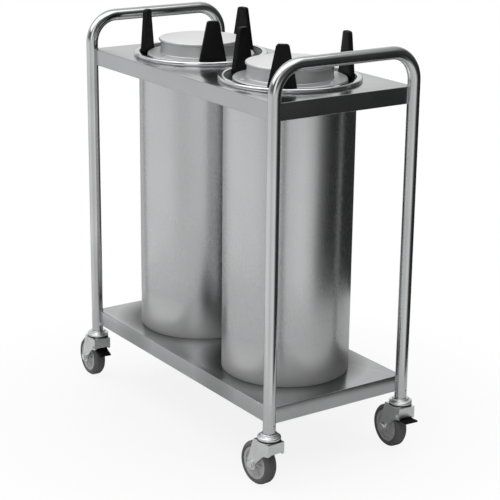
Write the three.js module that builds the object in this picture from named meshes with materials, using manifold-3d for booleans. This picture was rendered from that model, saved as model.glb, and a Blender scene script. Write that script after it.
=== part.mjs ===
// A mobile plate dispenser with two self-levelling tubes on an open frame.
//
// Two inverted-U tube frames, one at each end, are the four posts and the two push rails. They
// carry a top deck with two round holes and a base deck. A sheet steel tube hangs by its rim in
// each hole and stands on the base deck. In each tube a plate carrier rides on three extension
// springs: as plates are stacked on it, it sinks, and the top plate stays level with the rim.
// Three black plate guides stand round each mouth. Four swivel casters plug into the posts, and
// two of them, on one diagonal, have a foot brake.
//
// Axes: X along the cart, Y across it (the front is -Y), Z up from the floor. Millimetres.

import * as THREE from 'three';
import { mergeVertices } from 'three/addons/utils/BufferGeometryUtils.js';
import Module from 'manifold-3d';

const wasm = await Module();
wasm.setup();

// ---------------------------------------------------------------- driving dimensions

// Clearances
const FIT = 0.3; // between pieces that seat on or plug into each other
const RUNNING = 0.5; // between a carrier's guide ring and the tube it slides in

// Post and rail tubing
const POST_DIAMETER = 28.6;
const POST_WALL = 1.6;
const POST_SPACING_LONG = 783; // centre to centre along X
const POST_SPACING_DEEP = 376; // centre to centre along Y
const RAIL_TOP = 968;
const RAIL_BEND_RADIUS = 66; // to the tube's centre line

// Decks: pans with turned-down edges and an inward lip
const TOP_DECK_HEIGHT = 875;
const BASE_DECK_HEIGHT = 191;
const DECK_EDGE = 39;
const DECK_SHEET = 1.5;
const DECK_LIP = 14;
const STIFFENER_WIDTH = 70;
const STIFFENER_DEPTH = 20;
const STIFFENER_FLANGE = 16;

// Dispenser tubes and their rims
const TUBE_DIAMETER = 301;
const TUBE_WALL = 1.2;
const TUBE_SPACING = 372;
const TUBE_FOOT = 13; // inward flange that stands on the base deck
const RIM_OVERHANG = 12.5; // rim beyond the tube wall
const RIM_HEIGHT = 9;
const RIM_SEAT = 3; // rim metal above the tube's edge

// Plate guides
const GUIDE_HEIGHT = 102; // above the top deck
const GUIDE_BASE_WIDTH = 68;
const GUIDE_TOP_WIDTH = 27;
const GUIDE_THICKNESS = 12;
const GUIDE_CORNER = 5;
const GUIDE_BEVEL = 1.2;
const TONGUE_WIDTH = 30;
const TONGUE_DEPTH = 28;
const BOSS_WIDTH = 20;
const BOSS_HEIGHT = 18;
const GUIDE_TURN = { left: 9, right: 13 }; // how far each set of guides is turned, in degrees

// Plate carriers
const CARRIER_GAP = 19.3; // from the tube's wall to the carrier's edge
const CARRIER_ABOVE_DECK = 6; // the flange's face
const CARRIER_SHEET = 1.5;
const CARRIER_SKIRT = 15;
const CARRIER_EDGE_ROUND = 3;
const PLATFORM_DIAMETER = 204;
const PLATFORM_HEIGHT = 35; // above the flange
const PLATFORM_OVERHANG = 4; // of its edge beyond its neck
const PLATFORM_BEAD = 8; // height of the rolled edge
const PLATFORM_SHOULDER = 4.8; // from the top down to the edge's widest part
const CAGE_DEPTH = 250; // from the flange's face down to the spider's face
const CAGE_ROD_RADIUS = 5;
const SPIDER_THICKNESS = 5;
const SPIDER_HUB_RADIUS = 32;
const SPIDER_ARM_WIDTH = 24;
const GUIDE_RING_WIDTH = 5.8;
const GUIDE_RING_HEIGHT = 16;
const DOWN_STOP_RADIUS = 60;
const DOWN_STOP_WIDTH = 20;
const DOWN_STOP_HEIGHT = 45;

// Carrier springs and their hanger
const SPRING_RADIUS = 5.5;
const SPRING_EYE_RADIUS = 3;
const SPRING_EYE_LENGTH = 9;
const SPRING_INSET = 12.3; // from the tube's wall to a spring's axis
const HANGER_TOP = 32; // below the top deck
const HANGER_HEIGHT = 12;
const HANGER_SHEET = 2.5;
const LUG_WIDTH = 14;
const LUG_THICKNESS = 3;
const LUG_REACH = 16.3; // from the tube's wall

// Casters
const CASTER_HEIGHT = 135; // floor to the end of the post
const WHEEL_DIAMETER = 102;
const WHEEL_WIDTH = 31;
const TYRE_DEPTH = 13;
const TYRE_SHOULDER = 7;
const TYRE_BEAD_INSET = 1.5;
const HUB_BOSS_RADIUS = 14;
const HUB_BOSS_TAPER = 2;
const HUB_WEB_RADIUS = 30;
const HUB_RIM_TAPER = 1.5;
const HUB_RIM_INSET = 2;
const HUB_WEB_THICKNESS = 20;
const AXLE_RADIUS = 6;
const AXLE_HEAD_RADIUS = 10;
const AXLE_HEAD_HEIGHT = 6;
const CASTER_TRAIL = 36;
const FORK_GAP = 38; // between the legs
const FORK_SHEET = 3;
const FORK_CROWN_TOP = 117;
const FORK_CROWN_SHEET = 3.5;
const FORK_HALF_LENGTH = 27;
const FORK_BOSS_RADIUS = 13;
const FORK_FRONT_HEIGHT = 25; // the web across its front
const RACE_RADIUS = 26;
const RACE_HEIGHT = 5;
const CUP_RADIUS = 27;
const CUP_HEIGHT = 8;
const COLLAR_RADIUS = 19;
const KINGPIN_RADIUS = 6;
const KINGPIN_HEAD_RADIUS = 9;
const KINGPIN_HEAD_HEIGHT = 4;
const STEM_LENGTH = 45;

// Foot brakes
const BRAKE_PIVOT_FORWARD = 17; // ahead of the swivel axis
const BRAKE_PIVOT_HEIGHT = 95;
const BRAKE_PIN_RADIUS = 3;
const BRAKE_PIN_HEAD_RADIUS = 5.5;
const BRAKE_PIN_HEAD_HEIGHT = 3;
const BRAKE_BOSS_RADIUS = 5.5;
const BRAKE_PAD_REACH = 13.7;
const BRAKE_PAD_RADIUS = 4;
const BRAKE_PAD_ANGLE = -70; // degrees from the trailing direction, brake off
const BRAKE_WIDTH = 32;
const BRAKE_ARM_THICKNESS = 4;
const BRAKE_ARM_LENGTH = 33;
const BRAKE_ARM_DROP = 6; // from the pin down to the arm, which passes under the fork's front
const BRAKE_PEDAL_LENGTH = 7; // the raised end of the arm, for the foot
const BRAKE_PEDAL_RISE = 1;
const BRAKE_THROW = 25; // degrees from off to on

// Facets of round pieces
const TUBE_SIDES = 40;
const POST_SIDES = 16;
const BEND_STEPS = 5;
const WHEEL_SIDES = 24;
const SMALL_SIDES = 12;
const ROD_SIDES = 8;

// Which way each caster trails, in degrees from the front towards +X, and its brake.
const CASTERS = [
  { name: 'front_left', x: -1, y: -1, trails: 266, brake: 'on' },
  { name: 'front_right', x: 1, y: -1, trails: 273, brake: null },
  { name: 'rear_left', x: -1, y: 1, trails: 262, brake: null },
  { name: 'rear_right', x: 1, y: 1, trails: 266, brake: 'off' },
];

// ---------------------------------------------------------------- derived sizes

const POST_RADIUS = POST_DIAMETER / 2;
const POST_X = POST_SPACING_LONG / 2;
const POST_Y = POST_SPACING_DEEP / 2;
const TUBE_RADIUS = TUBE_DIAMETER / 2;
const TUBE_BORE = TUBE_RADIUS - TUBE_WALL;
const TUBE_TOP = TOP_DECK_HEIGHT + RIM_HEIGHT - RIM_SEAT;
const CARRIER_FACE = TOP_DECK_HEIGHT + CARRIER_ABOVE_DECK;
const CARRIER_RADIUS = TUBE_BORE - CARRIER_GAP;
const PLATFORM_RADIUS = PLATFORM_DIAMETER / 2;
const NECK_RADIUS = PLATFORM_RADIUS - PLATFORM_OVERHANG;
const CAGE_ROD_CIRCLE = (NECK_RADIUS + CARRIER_RADIUS) / 2;
const SPRING_CIRCLE = TUBE_BORE - SPRING_INSET;
const LUG_INNER_RADIUS = TUBE_BORE - LUG_REACH;
const SPIDER_FACE = CARRIER_FACE - CAGE_DEPTH;
const GUIDE_RING_RADIUS = TUBE_BORE - RUNNING;
const HANGER_FLOOR = TOP_DECK_HEIGHT - HANGER_TOP - HANGER_HEIGHT;
const WHEEL_RADIUS = WHEEL_DIAMETER / 2;
const FORK_HALF_WIDTH = FORK_GAP / 2 + FORK_SHEET;
const CUP_FLOOR = FORK_CROWN_TOP + RACE_HEIGHT + FIT;

// How far out the flat end of a piece reaches inside a faceted round bore.
function reachInBore(bore, halfWidth) {
  const clear = bore * Math.cos(Math.PI / TUBE_SIDES) - FIT;
  return Math.sqrt(clear ** 2 - halfWidth ** 2);
}

// ---------------------------------------------------------------- solids

function asSolid(geometry) {
  const bare = geometry.index ? geometry.toNonIndexed() : geometry.clone();
  bare.deleteAttribute('normal');
  bare.deleteAttribute('uv');
  const merged = mergeVertices(bare, 1e-4);
  const vertProperties = new Float32Array(merged.attributes.position.array);
  const triVerts = new Uint32Array(merged.index.array);
  return new wasm.Manifold(new wasm.Mesh({ numProp: 3, vertProperties, triVerts }));
}

function asGeometry(solid) {
  const mesh = solid.getMesh();
  const geometry = new THREE.BufferGeometry();
  geometry.setAttribute('position', new THREE.BufferAttribute(new Float32Array(mesh.vertProperties), 3));
  geometry.setIndex(new THREE.BufferAttribute(new Uint32Array(mesh.triVerts), 1));
  geometry.computeVertexNormals();
  return geometry;
}

function joined(first, ...others) {
  return asGeometry(others.reduce((solid, other) => solid.add(asSolid(other)), asSolid(first)));
}

function cut(body, ...tools) {
  return asGeometry(tools.reduce((solid, tool) => solid.subtract(asSolid(tool)), asSolid(body)));
}

// A closed outline of [radius, height] pairs, anticlockwise with the axis on its left, turned
// about Z. It starts and ends on the axis, or it is a ring's section and closes on itself.
function revolved(outline, sides) {
  const points = outline.map(([radius, height]) => new THREE.Vector2(radius, height));
  const onAxis = outline[0][0] === 0 && outline.at(-1)[0] === 0;
  if (!onAxis) points.push(points[0].clone());
  return new THREE.LatheGeometry(points, sides).rotateX(Math.PI / 2);
}

function disc(radius, height, sides) {
  return new THREE.CylinderGeometry(radius, radius, height, sides)
    .rotateX(Math.PI / 2)
    .translate(0, 0, height / 2);
}

function block(width, depth, height) {
  return new THREE.BoxGeometry(width, depth, height).translate(0, 0, height / 2);
}

function plate(shape, thickness, curveSegments = 6) {
  return new THREE.ExtrudeGeometry(shape, { depth: thickness, bevelEnabled: false, curveSegments });
}

// A closed ring of the given section, with square edges.
function hoop(outer, inner, height, sides) {
  return revolved([[inner, 0], [outer, 0], [outer, height], [inner, height]], sides);
}

// A path through corners, rounded to one radius, with stations only at its ends and bends.
class BentPath extends THREE.Curve {
  constructor(corners, radius, stepsPerBend) {
    super();
    this.stations = [];
    corners.forEach((corner, index) => {
      const before = corners[index - 1];
      const after = corners[index + 1];
      if (before && after) this.addBend(before, corner, after, radius, stepsPerBend);
      else this.addEnd(corner, before ?? corner, after ?? corner);
    });
  }

  addEnd(point, before, after) {
    this.stations.push({ point, tangent: after.clone().sub(before).normalize() });
  }

  addBend(before, corner, after, radius, steps) {
    const inward = corner.clone().sub(before).normalize();
    const outward = after.clone().sub(corner).normalize();
    const turn = inward.angleTo(outward);
    const reach = radius * Math.tan(turn / 2);
    const start = corner.clone().addScaledVector(inward, -reach);
    const side = outward.clone().addScaledVector(inward, -outward.dot(inward)).normalize();
    for (let step = 0; step <= steps; step += 1) {
      const angle = (turn * step) / steps;
      const point = start.clone()
        .addScaledVector(inward, radius * Math.sin(angle))
        .addScaledVector(side, radius * (1 - Math.cos(angle)));
      const tangent = inward.clone().multiplyScalar(Math.cos(angle)).addScaledVector(side, Math.sin(angle));
      this.stations.push({ point, tangent });
    }
  }

  get steps() {
    return this.stations.length - 1;
  }

  getPoint(t) {
    return this.stations[Math.round(t * this.steps)].point.clone();
  }

  getPointAt(u) {
    return this.getPoint(u);
  }

  getTangentAt(u) {
    return this.stations[Math.round(u * this.steps)].tangent.clone();
  }
}

// ---------------------------------------------------------------- scene helpers

const cart = new THREE.Group();

const FINISHES = {
  brushedSteel: { color: 0xb4b6b8, roughness: 0.38, metalness: 1 },
  polishedSteel: { color: 0xd2d4d6, roughness: 0.18, metalness: 1 },
  zincPlate: { color: 0xbfc2c4, roughness: 0.32, metalness: 0.9 },
  springSteel: { color: 0x8d9093, roughness: 0.4, metalness: 0.9 },
  blackPlastic: { color: 0x161617, roughness: 0.5, metalness: 0 },
  whiteNylon: { color: 0xdad8d0, roughness: 0.55, metalness: 0 },
  blackRubber: { color: 0x1d1d1e, roughness: 0.85, metalness: 0 },
  greyTyre: { color: 0x55565a, roughness: 0.75, metalness: 0 },
  greyPlastic: { color: 0x8b8c8f, roughness: 0.6, metalness: 0 },
};

function addPiece(parent, name, geometry, finish) {
  const mesh = new THREE.Mesh(geometry, new THREE.MeshStandardMaterial(FINISHES[finish]));
  mesh.name = name;
  parent.add(mesh);
  return mesh;
}

const radians = THREE.MathUtils.degToRad;

// Turns what faces +X to face a bearing, in degrees from the front (-Y) towards +X.
function bearingTurn(bearing) {
  return radians(bearing - 90);
}

// ---------------------------------------------------------------- end frames

// One inverted U: two posts and the push rail across their tops, bent from a single tube.
function endFrameGeometry() {
  const railZ = RAIL_TOP - POST_RADIUS;
  const corners = [
    new THREE.Vector3(0, -POST_Y, CASTER_HEIGHT),
    new THREE.Vector3(0, -POST_Y, railZ),
    new THREE.Vector3(0, POST_Y, railZ),
    new THREE.Vector3(0, POST_Y, CASTER_HEIGHT),
  ];
  const path = new BentPath(corners, RAIL_BEND_RADIUS, BEND_STEPS);
  const section = new THREE.Shape().absarc(0, 0, POST_RADIUS, 0, 2 * Math.PI);
  section.holes.push(new THREE.Path().absarc(0, 0, POST_RADIUS - POST_WALL, 0, 2 * Math.PI, true));
  return new THREE.ExtrudeGeometry(section, {
    extrudePath: path,
    steps: path.steps,
    curveSegments: POST_SIDES / 2,
  });
}

function addEndFrames() {
  for (const [side, x] of [['left', -POST_X], ['right', POST_X]]) {
    addPiece(cart, `${side}_end_frame`, endFrameGeometry(), 'polishedSteel').position.x = x;
  }
}

// ---------------------------------------------------------------- decks

function centredBlock(width, depth, bottom, top) {
  return block(width, depth, top - bottom).translate(0, 0, bottom);
}

// An upturned tray: a sheet with turned-down edges and an inward lip, cut round the four posts.
function deckPan() {
  const length = POST_SPACING_LONG;
  const depth = POST_SPACING_DEEP;
  const inner = 2 * DECK_SHEET;
  const mouth = inner + 2 * DECK_LIP;
  const outside = centredBlock(length, depth, -DECK_EDGE, 0);
  const hollow = centredBlock(length - inner, depth - inner, DECK_SHEET - DECK_EDGE, -DECK_SHEET);
  const opening = centredBlock(length - mouth, depth - mouth, -2 * DECK_EDGE, -2 * DECK_SHEET);
  const notches = [];
  for (const x of [-POST_X, POST_X]) {
    for (const y of [-POST_Y, POST_Y]) {
      notches.push(disc(POST_RADIUS + FIT, 4 * DECK_EDGE, POST_SIDES).translate(x, y, -2 * DECK_EDGE));
    }
  }
  return cut(outside, hollow, opening, ...notches);
}

function addDecks() {
  const holes = [-TUBE_SPACING / 2, TUBE_SPACING / 2].map((x) =>
    disc(TUBE_RADIUS + FIT, 4 * DECK_EDGE, TUBE_SIDES).translate(x, 0, -2 * DECK_EDGE));
  const topDeck = addPiece(cart, 'top_deck', cut(deckPan(), ...holes), 'brushedSteel');
  topDeck.position.z = TOP_DECK_HEIGHT;
  const baseDeck = addPiece(cart, 'base_deck', deckPan(), 'brushedSteel');
  baseDeck.position.z = BASE_DECK_HEIGHT;
}

// A hat-section channel under the base deck, along its middle, between the end lips.
function addStiffener() {
  const half = STIFFENER_WIDTH / 2;
  const web = half - STIFFENER_FLANGE;
  const section = new THREE.Shape([
    new THREE.Vector2(-half, 0),
    new THREE.Vector2(-half, -DECK_SHEET),
    new THREE.Vector2(-web - DECK_SHEET, -DECK_SHEET),
    new THREE.Vector2(-web - DECK_SHEET, -STIFFENER_DEPTH),
    new THREE.Vector2(web + DECK_SHEET, -STIFFENER_DEPTH),
    new THREE.Vector2(web + DECK_SHEET, -DECK_SHEET),
    new THREE.Vector2(half, -DECK_SHEET),
    new THREE.Vector2(half, 0),
    new THREE.Vector2(web, 0),
    new THREE.Vector2(web, DECK_SHEET - STIFFENER_DEPTH),
    new THREE.Vector2(-web, DECK_SHEET - STIFFENER_DEPTH),
    new THREE.Vector2(-web, 0),
  ]);
  const length = POST_SPACING_LONG - 2 * (DECK_SHEET + FIT);
  const channel = plate(section, length).rotateX(Math.PI / 2).rotateZ(Math.PI / 2);
  channel.translate(-length / 2, 0, BASE_DECK_HEIGHT - DECK_SHEET - FIT);
  addPiece(cart, 'base_stiffener', channel, 'brushedSteel');
}

// ---------------------------------------------------------------- dispenser tubes

function tubeShell() {
  const foot = BASE_DECK_HEIGHT + FIT;
  return revolved([
    [TUBE_BORE - TUBE_FOOT, foot],
    [TUBE_RADIUS, foot],
    [TUBE_RADIUS, TUBE_TOP],
    [TUBE_BORE, TUBE_TOP],
    [TUBE_BORE, foot + TUBE_WALL],
    [TUBE_BORE - TUBE_FOOT, foot + TUBE_WALL],
  ], TUBE_SIDES);
}

// The rolled rim: it rests on the deck outside the tube and laps over the tube's edge.
function tubeRim() {
  const outer = TUBE_RADIUS + RIM_OVERHANG;
  const low = TOP_DECK_HEIGHT + FIT;
  const high = TOP_DECK_HEIGHT + RIM_HEIGHT;
  const seat = TUBE_TOP + FIT;
  return revolved([
    [TUBE_RADIUS + FIT, low],
    [outer - RIM_HEIGHT / 4, low],
    [outer, low + RIM_HEIGHT / 4],
    [outer, high - RIM_HEIGHT / 2],
    [outer - RIM_HEIGHT / 6, high - RIM_HEIGHT / 5],
    [outer - RIM_HEIGHT / 2, high],
    [TUBE_BORE, high],
    [TUBE_BORE, seat],
    [TUBE_RADIUS + FIT, seat],
  ], TUBE_SIDES);
}

// A ring inside the tube's mouth, with three lugs that the springs hook onto.
function springHanger(bearings) {
  const outer = TUBE_BORE - FIT;
  const band = hoop(outer, outer - HANGER_SHEET, HANGER_HEIGHT, TUBE_SIDES);
  const lugEnd = outer - HANGER_SHEET / 2;
  const lugs = bearings.map((bearing) =>
    block(lugEnd - LUG_INNER_RADIUS, LUG_WIDTH, LUG_THICKNESS)
      .translate((lugEnd + LUG_INNER_RADIUS) / 2, 0, 0)
      .rotateZ(bearingTurn(bearing)));
  return joined(band, ...lugs).translate(0, 0, HANGER_FLOOR);
}

// A tapered fin, with a tongue that hangs inside the mouth and a boss that bolts to its wall.
function plateGuide() {
  const baseHalf = GUIDE_BASE_WIDTH / 2;
  const topHalf = GUIDE_TOP_WIDTH / 2;
  const tongueHalf = TONGUE_WIDTH / 2;
  const slope = (baseHalf - topHalf) / GUIDE_HEIGHT;
  const shoulder = topHalf + slope * GUIDE_CORNER;
  const outline = new THREE.Shape()
    .moveTo(-tongueHalf, -TONGUE_DEPTH)
    .lineTo(tongueHalf, -TONGUE_DEPTH)
    .lineTo(tongueHalf, 0)
    .lineTo(baseHalf, 0)
    .lineTo(shoulder, GUIDE_HEIGHT - GUIDE_CORNER)
    .quadraticCurveTo(topHalf, GUIDE_HEIGHT, topHalf - GUIDE_CORNER, GUIDE_HEIGHT)
    .lineTo(GUIDE_CORNER - topHalf, GUIDE_HEIGHT)
    .quadraticCurveTo(-topHalf, GUIDE_HEIGHT, -shoulder, GUIDE_HEIGHT - GUIDE_CORNER)
    .lineTo(-baseHalf, 0)
    .lineTo(-tongueHalf, 0)
    .closePath();
  const fin = new THREE.ExtrudeGeometry(outline, {
    depth: GUIDE_THICKNESS - 2 * GUIDE_BEVEL,
    bevelEnabled: true,
    bevelSize: GUIDE_BEVEL,
    bevelOffset: -GUIDE_BEVEL,
    bevelThickness: GUIDE_BEVEL,
    bevelSegments: 1,
    curveSegments: 3,
  });
  // The outline's X and Y become the cart's tangent and height, and its back faces outwards.
  const outerFace = reachInBore(TUBE_BORE, baseHalf);
  fin.translate(0, 0, GUIDE_BEVEL - GUIDE_THICKNESS).rotateX(Math.PI / 2).rotateZ(Math.PI / 2);
  fin.translate(outerFace, 0, TOP_DECK_HEIGHT);
  const wall = reachInBore(TUBE_BORE, BOSS_WIDTH / 2);
  const bossDepth = wall - outerFace + GUIDE_THICKNESS / 2;
  const boss = block(bossDepth, BOSS_WIDTH, BOSS_HEIGHT).translate(
    wall - bossDepth / 2,
    0,
    TOP_DECK_HEIGHT - TONGUE_DEPTH + (TONGUE_DEPTH - BOSS_HEIGHT) / 2,
  );
  return joined(fin, boss);
}

// ---------------------------------------------------------------- plate carriers

// A spun hat: a raised platform with a rolled edge, its neck, a flange and a turned-down skirt.
function carrierDisc() {
  const face = CARRIER_FACE;
  const top = face + PLATFORM_HEIGHT;
  const sheet = CARRIER_SHEET;
  const edge = CARRIER_EDGE_ROUND;
  const bead = PLATFORM_BEAD;
  const shoulder = PLATFORM_SHOULDER;
  return revolved([
    [0, top - sheet],
    [PLATFORM_RADIUS - edge - sheet / 2, top - sheet],
    [PLATFORM_RADIUS - sheet, top - edge - sheet / 2],
    [PLATFORM_RADIUS - sheet, top - shoulder - 2 * sheet],
    [NECK_RADIUS - sheet, top - bead - 2 * sheet],
    [NECK_RADIUS - sheet, face + edge - sheet / 2],
    [NECK_RADIUS + edge - sheet, face - sheet],
    [CARRIER_RADIUS - edge - sheet / 2, face - sheet],
    [CARRIER_RADIUS - sheet, face - edge - sheet / 2],
    [CARRIER_RADIUS - sheet, face - CARRIER_SKIRT],
    [CARRIER_RADIUS, face - CARRIER_SKIRT],
    [CARRIER_RADIUS, face - edge],
    [CARRIER_RADIUS - edge, face],
    [NECK_RADIUS + edge, face],
    [NECK_RADIUS, face + edge],
    [NECK_RADIUS, top - bead],
    [PLATFORM_RADIUS, top - shoulder],
    [PLATFORM_RADIUS, top - edge],
    [PLATFORM_RADIUS - edge, top],
    [0, top],
  ], TUBE_SIDES);
}

// Three rods under the flange and the three-armed spider at their feet.
function carrierCage(bearings) {
  const rodTop = CARRIER_FACE - CARRIER_SHEET - FIT;
  const spiderFloor = SPIDER_FACE - SPIDER_THICKNESS;
  const armEnd = reachInBore(GUIDE_RING_RADIUS - GUIDE_RING_WIDTH, SPIDER_ARM_WIDTH / 2);
  const hub = disc(SPIDER_HUB_RADIUS, SPIDER_THICKNESS, SMALL_SIDES).translate(0, 0, spiderFloor);
  const parts = bearings.flatMap((bearing) => {
    const arm = block(armEnd, SPIDER_ARM_WIDTH, SPIDER_THICKNESS).translate(armEnd / 2, 0, spiderFloor);
    const rod = disc(CAGE_ROD_RADIUS, rodTop - spiderFloor, ROD_SIDES)
      .translate(CAGE_ROD_CIRCLE, 0, spiderFloor);
    return [arm.rotateZ(bearingTurn(bearing)), rod.rotateZ(bearingTurn(bearing))];
  });
  return joined(hub, ...parts);
}

// A nylon hoop round the spider, which slides on the tube's wall and keeps the disc level.
function carrierGuideRing() {
  const inner = GUIDE_RING_RADIUS - GUIDE_RING_WIDTH;
  const floor = SPIDER_FACE - SPIDER_THICKNESS / 2 - GUIDE_RING_HEIGHT / 2;
  return hoop(GUIDE_RING_RADIUS, inner, GUIDE_RING_HEIGHT, TUBE_SIDES).translate(0, 0, floor);
}

// A spring as its outer form: the closed coils, and a narrower hook eye at each end.
function carrierSpring() {
  const low = SPIDER_FACE + FIT;
  const high = HANGER_FLOOR - FIT;
  return revolved([
    [0, low],
    [SPRING_EYE_RADIUS, low],
    [SPRING_EYE_RADIUS, low + SPRING_EYE_LENGTH],
    [SPRING_RADIUS, low + SPRING_EYE_LENGTH],
    [SPRING_RADIUS, high - SPRING_EYE_LENGTH],
    [SPRING_EYE_RADIUS, high - SPRING_EYE_LENGTH],
    [SPRING_EYE_RADIUS, high],
    [0, high],
  ], ROD_SIDES);
}

function downStop() {
  const foot = BASE_DECK_HEIGHT + FIT;
  return hoop(DOWN_STOP_RADIUS, DOWN_STOP_RADIUS - DOWN_STOP_WIDTH, DOWN_STOP_HEIGHT, SMALL_SIDES)
    .translate(0, 0, foot);
}

// Everything of one dispenser. The two are mirror images, so the guides turn opposite ways.
function addDispenser(side, direction) {
  const group = new THREE.Group();
  group.position.x = (direction * TUBE_SPACING) / 2;
  cart.add(group);
  const guideBearings = [180, 60, -60].map((bearing) => -direction * (bearing + GUIDE_TURN[side]));
  const springBearings = guideBearings.map((bearing) => bearing + 60);
  addPiece(group, `${side}_tube_shell`, tubeShell(), 'brushedSteel');
  addPiece(group, `${side}_tube_rim`, tubeRim(), 'polishedSteel');
  addPiece(group, `${side}_spring_hanger`, springHanger(springBearings), 'brushedSteel');
  guideBearings.forEach((bearing, index) => {
    const guide = addPiece(group, `${side}_plate_guide_${index + 1}`, plateGuide(), 'blackPlastic');
    guide.rotation.z = bearingTurn(bearing);
  });
  addPiece(group, `${side}_carrier_disc`, carrierDisc(), 'brushedSteel');
  addPiece(group, `${side}_carrier_cage`, carrierCage(springBearings), 'zincPlate');
  addPiece(group, `${side}_carrier_guide_ring`, carrierGuideRing(), 'whiteNylon');
  springBearings.forEach((bearing, index) => {
    const spring = addPiece(group, `${side}_carrier_spring_${index + 1}`, carrierSpring(), 'springSteel');
    const turn = bearingTurn(bearing);
    spring.position.set(SPRING_CIRCLE * Math.cos(turn), SPRING_CIRCLE * Math.sin(turn), 0);
  });
  addPiece(group, `${side}_down_stop`, downStop(), 'blackRubber');
}

// ---------------------------------------------------------------- casters

// In a caster's own frame +X is the way it trails, Z its swivel axis and Y its axle's direction.

// Kingpin, bearing cup, collar and the plug that fills the post's bore, all on the swivel axis.
function casterStem() {
  const headTop = FORK_CROWN_TOP - FORK_CROWN_SHEET - FIT;
  const plug = POST_RADIUS - POST_WALL - FIT;
  const cupTop = CUP_FLOOR + CUP_HEIGHT;
  return revolved([
    [0, headTop - KINGPIN_HEAD_HEIGHT],
    [KINGPIN_HEAD_RADIUS, headTop - KINGPIN_HEAD_HEIGHT],
    [KINGPIN_HEAD_RADIUS, headTop],
    [KINGPIN_RADIUS, headTop],
    [KINGPIN_RADIUS, CUP_FLOOR],
    [CUP_RADIUS, CUP_FLOOR],
    [CUP_RADIUS, cupTop - CUP_HEIGHT / 4],
    [COLLAR_RADIUS, cupTop],
    [COLLAR_RADIUS, CASTER_HEIGHT - FIT],
    [plug, CASTER_HEIGHT - FIT],
    [plug, CASTER_HEIGHT + STEM_LENGTH],
    [0, CASTER_HEIGHT + STEM_LENGTH],
  ], SMALL_SIDES);
}

// One stamped leg: it sweeps back from under the swivel head to the axle.
function forkLeg() {
  const front = -FORK_HALF_LENGTH;
  const earFloor = BRAKE_PIVOT_HEIGHT - BRAKE_PIN_HEAD_RADIUS - FORK_SHEET;
  const axle = new THREE.Vector2(CASTER_TRAIL, WHEEL_RADIUS);
  const outline = new THREE.Shape()
    .moveTo(front, FORK_CROWN_TOP)
    .lineTo(front, earFloor + FORK_SHEET)
    .lineTo(front + FORK_SHEET, earFloor)
    .quadraticCurveTo(axle.x / 2, earFloor, axle.x - FORK_BOSS_RADIUS, axle.y)
    .absarc(axle.x, axle.y, FORK_BOSS_RADIUS, Math.PI, 2 * Math.PI)
    .quadraticCurveTo(axle.x + FORK_BOSS_RADIUS, FORK_CROWN_TOP * 0.85, FORK_HALF_LENGTH, FORK_CROWN_TOP)
    .closePath();
  return plate(outline, FORK_SHEET).rotateX(Math.PI / 2);
}

function crossPin(radius, length, sides) {
  return disc(radius, length, sides).translate(0, 0, -length / 2).rotateX(Math.PI / 2);
}

function casterFork() {
  const width = 2 * FORK_HALF_WIDTH;
  const crown = block(2 * FORK_HALF_LENGTH, width, FORK_CROWN_SHEET)
    .translate(0, 0, FORK_CROWN_TOP - FORK_CROWN_SHEET);
  const race = disc(RACE_RADIUS, RACE_HEIGHT + FORK_CROWN_SHEET, WHEEL_SIDES)
    .translate(0, 0, FORK_CROWN_TOP - FORK_CROWN_SHEET);
  const front = block(FORK_SHEET, width, FORK_FRONT_HEIGHT)
    .translate(FORK_SHEET / 2 - FORK_HALF_LENGTH, 0, FORK_CROWN_TOP - FORK_FRONT_HEIGHT);
  const nearLeg = forkLeg().translate(0, FORK_HALF_WIDTH, 0);
  const farLeg = forkLeg().translate(0, FORK_SHEET - FORK_HALF_WIDTH, 0);
  const kingpinHole = disc(KINGPIN_RADIUS + FIT, 2 * RACE_HEIGHT + FORK_CROWN_TOP, SMALL_SIDES)
    .translate(0, 0, FORK_CROWN_TOP - 2 * FORK_CROWN_SHEET);
  const axleHole = crossPin(AXLE_RADIUS + FIT, 2 * width, SMALL_SIDES)
    .translate(CASTER_TRAIL, 0, WHEEL_RADIUS);
  const brakeHole = crossPin(BRAKE_PIN_RADIUS + FIT, 2 * width, ROD_SIDES)
    .translate(-BRAKE_PIVOT_FORWARD, 0, BRAKE_PIVOT_HEIGHT);
  return cut(joined(crown, front, race, nearLeg, farLeg), kingpinHole, axleHole, brakeHole);
}

// A pin with a head at each end, outside the fork's legs.
function headedPin(radius, headRadius, headHeight, sides) {
  const half = FORK_HALF_WIDTH + FIT;
  return revolved([
    [0, -half - headHeight],
    [headRadius, -half - headHeight],
    [headRadius, -half],
    [radius, -half],
    [radius, half],
    [headRadius, half],
    [headRadius, half + headHeight],
    [0, half + headHeight],
  ], sides).rotateX(Math.PI / 2);
}

function wheelHub() {
  const bossHalf = FORK_GAP / 2 - FIT;
  const webHalf = HUB_WEB_THICKNESS / 2;
  const rimRadius = WHEEL_RADIUS - TYRE_DEPTH - FIT;
  const rimHalf = WHEEL_WIDTH / 2 - HUB_RIM_INSET;
  return revolved([
    [AXLE_RADIUS + FIT, -bossHalf],
    [HUB_BOSS_RADIUS - HUB_BOSS_TAPER, -bossHalf],
    [HUB_BOSS_RADIUS, -webHalf],
    [HUB_WEB_RADIUS, -webHalf],
    [HUB_WEB_RADIUS + HUB_RIM_TAPER, -rimHalf],
    [rimRadius, -rimHalf],
    [rimRadius, rimHalf],
    [HUB_WEB_RADIUS + HUB_RIM_TAPER, rimHalf],
    [HUB_WEB_RADIUS, webHalf],
    [HUB_BOSS_RADIUS, webHalf],
    [HUB_BOSS_RADIUS - HUB_BOSS_TAPER, bossHalf],
    [AXLE_RADIUS + FIT, bossHalf],
  ], WHEEL_SIDES).rotateX(Math.PI / 2);
}

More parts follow.
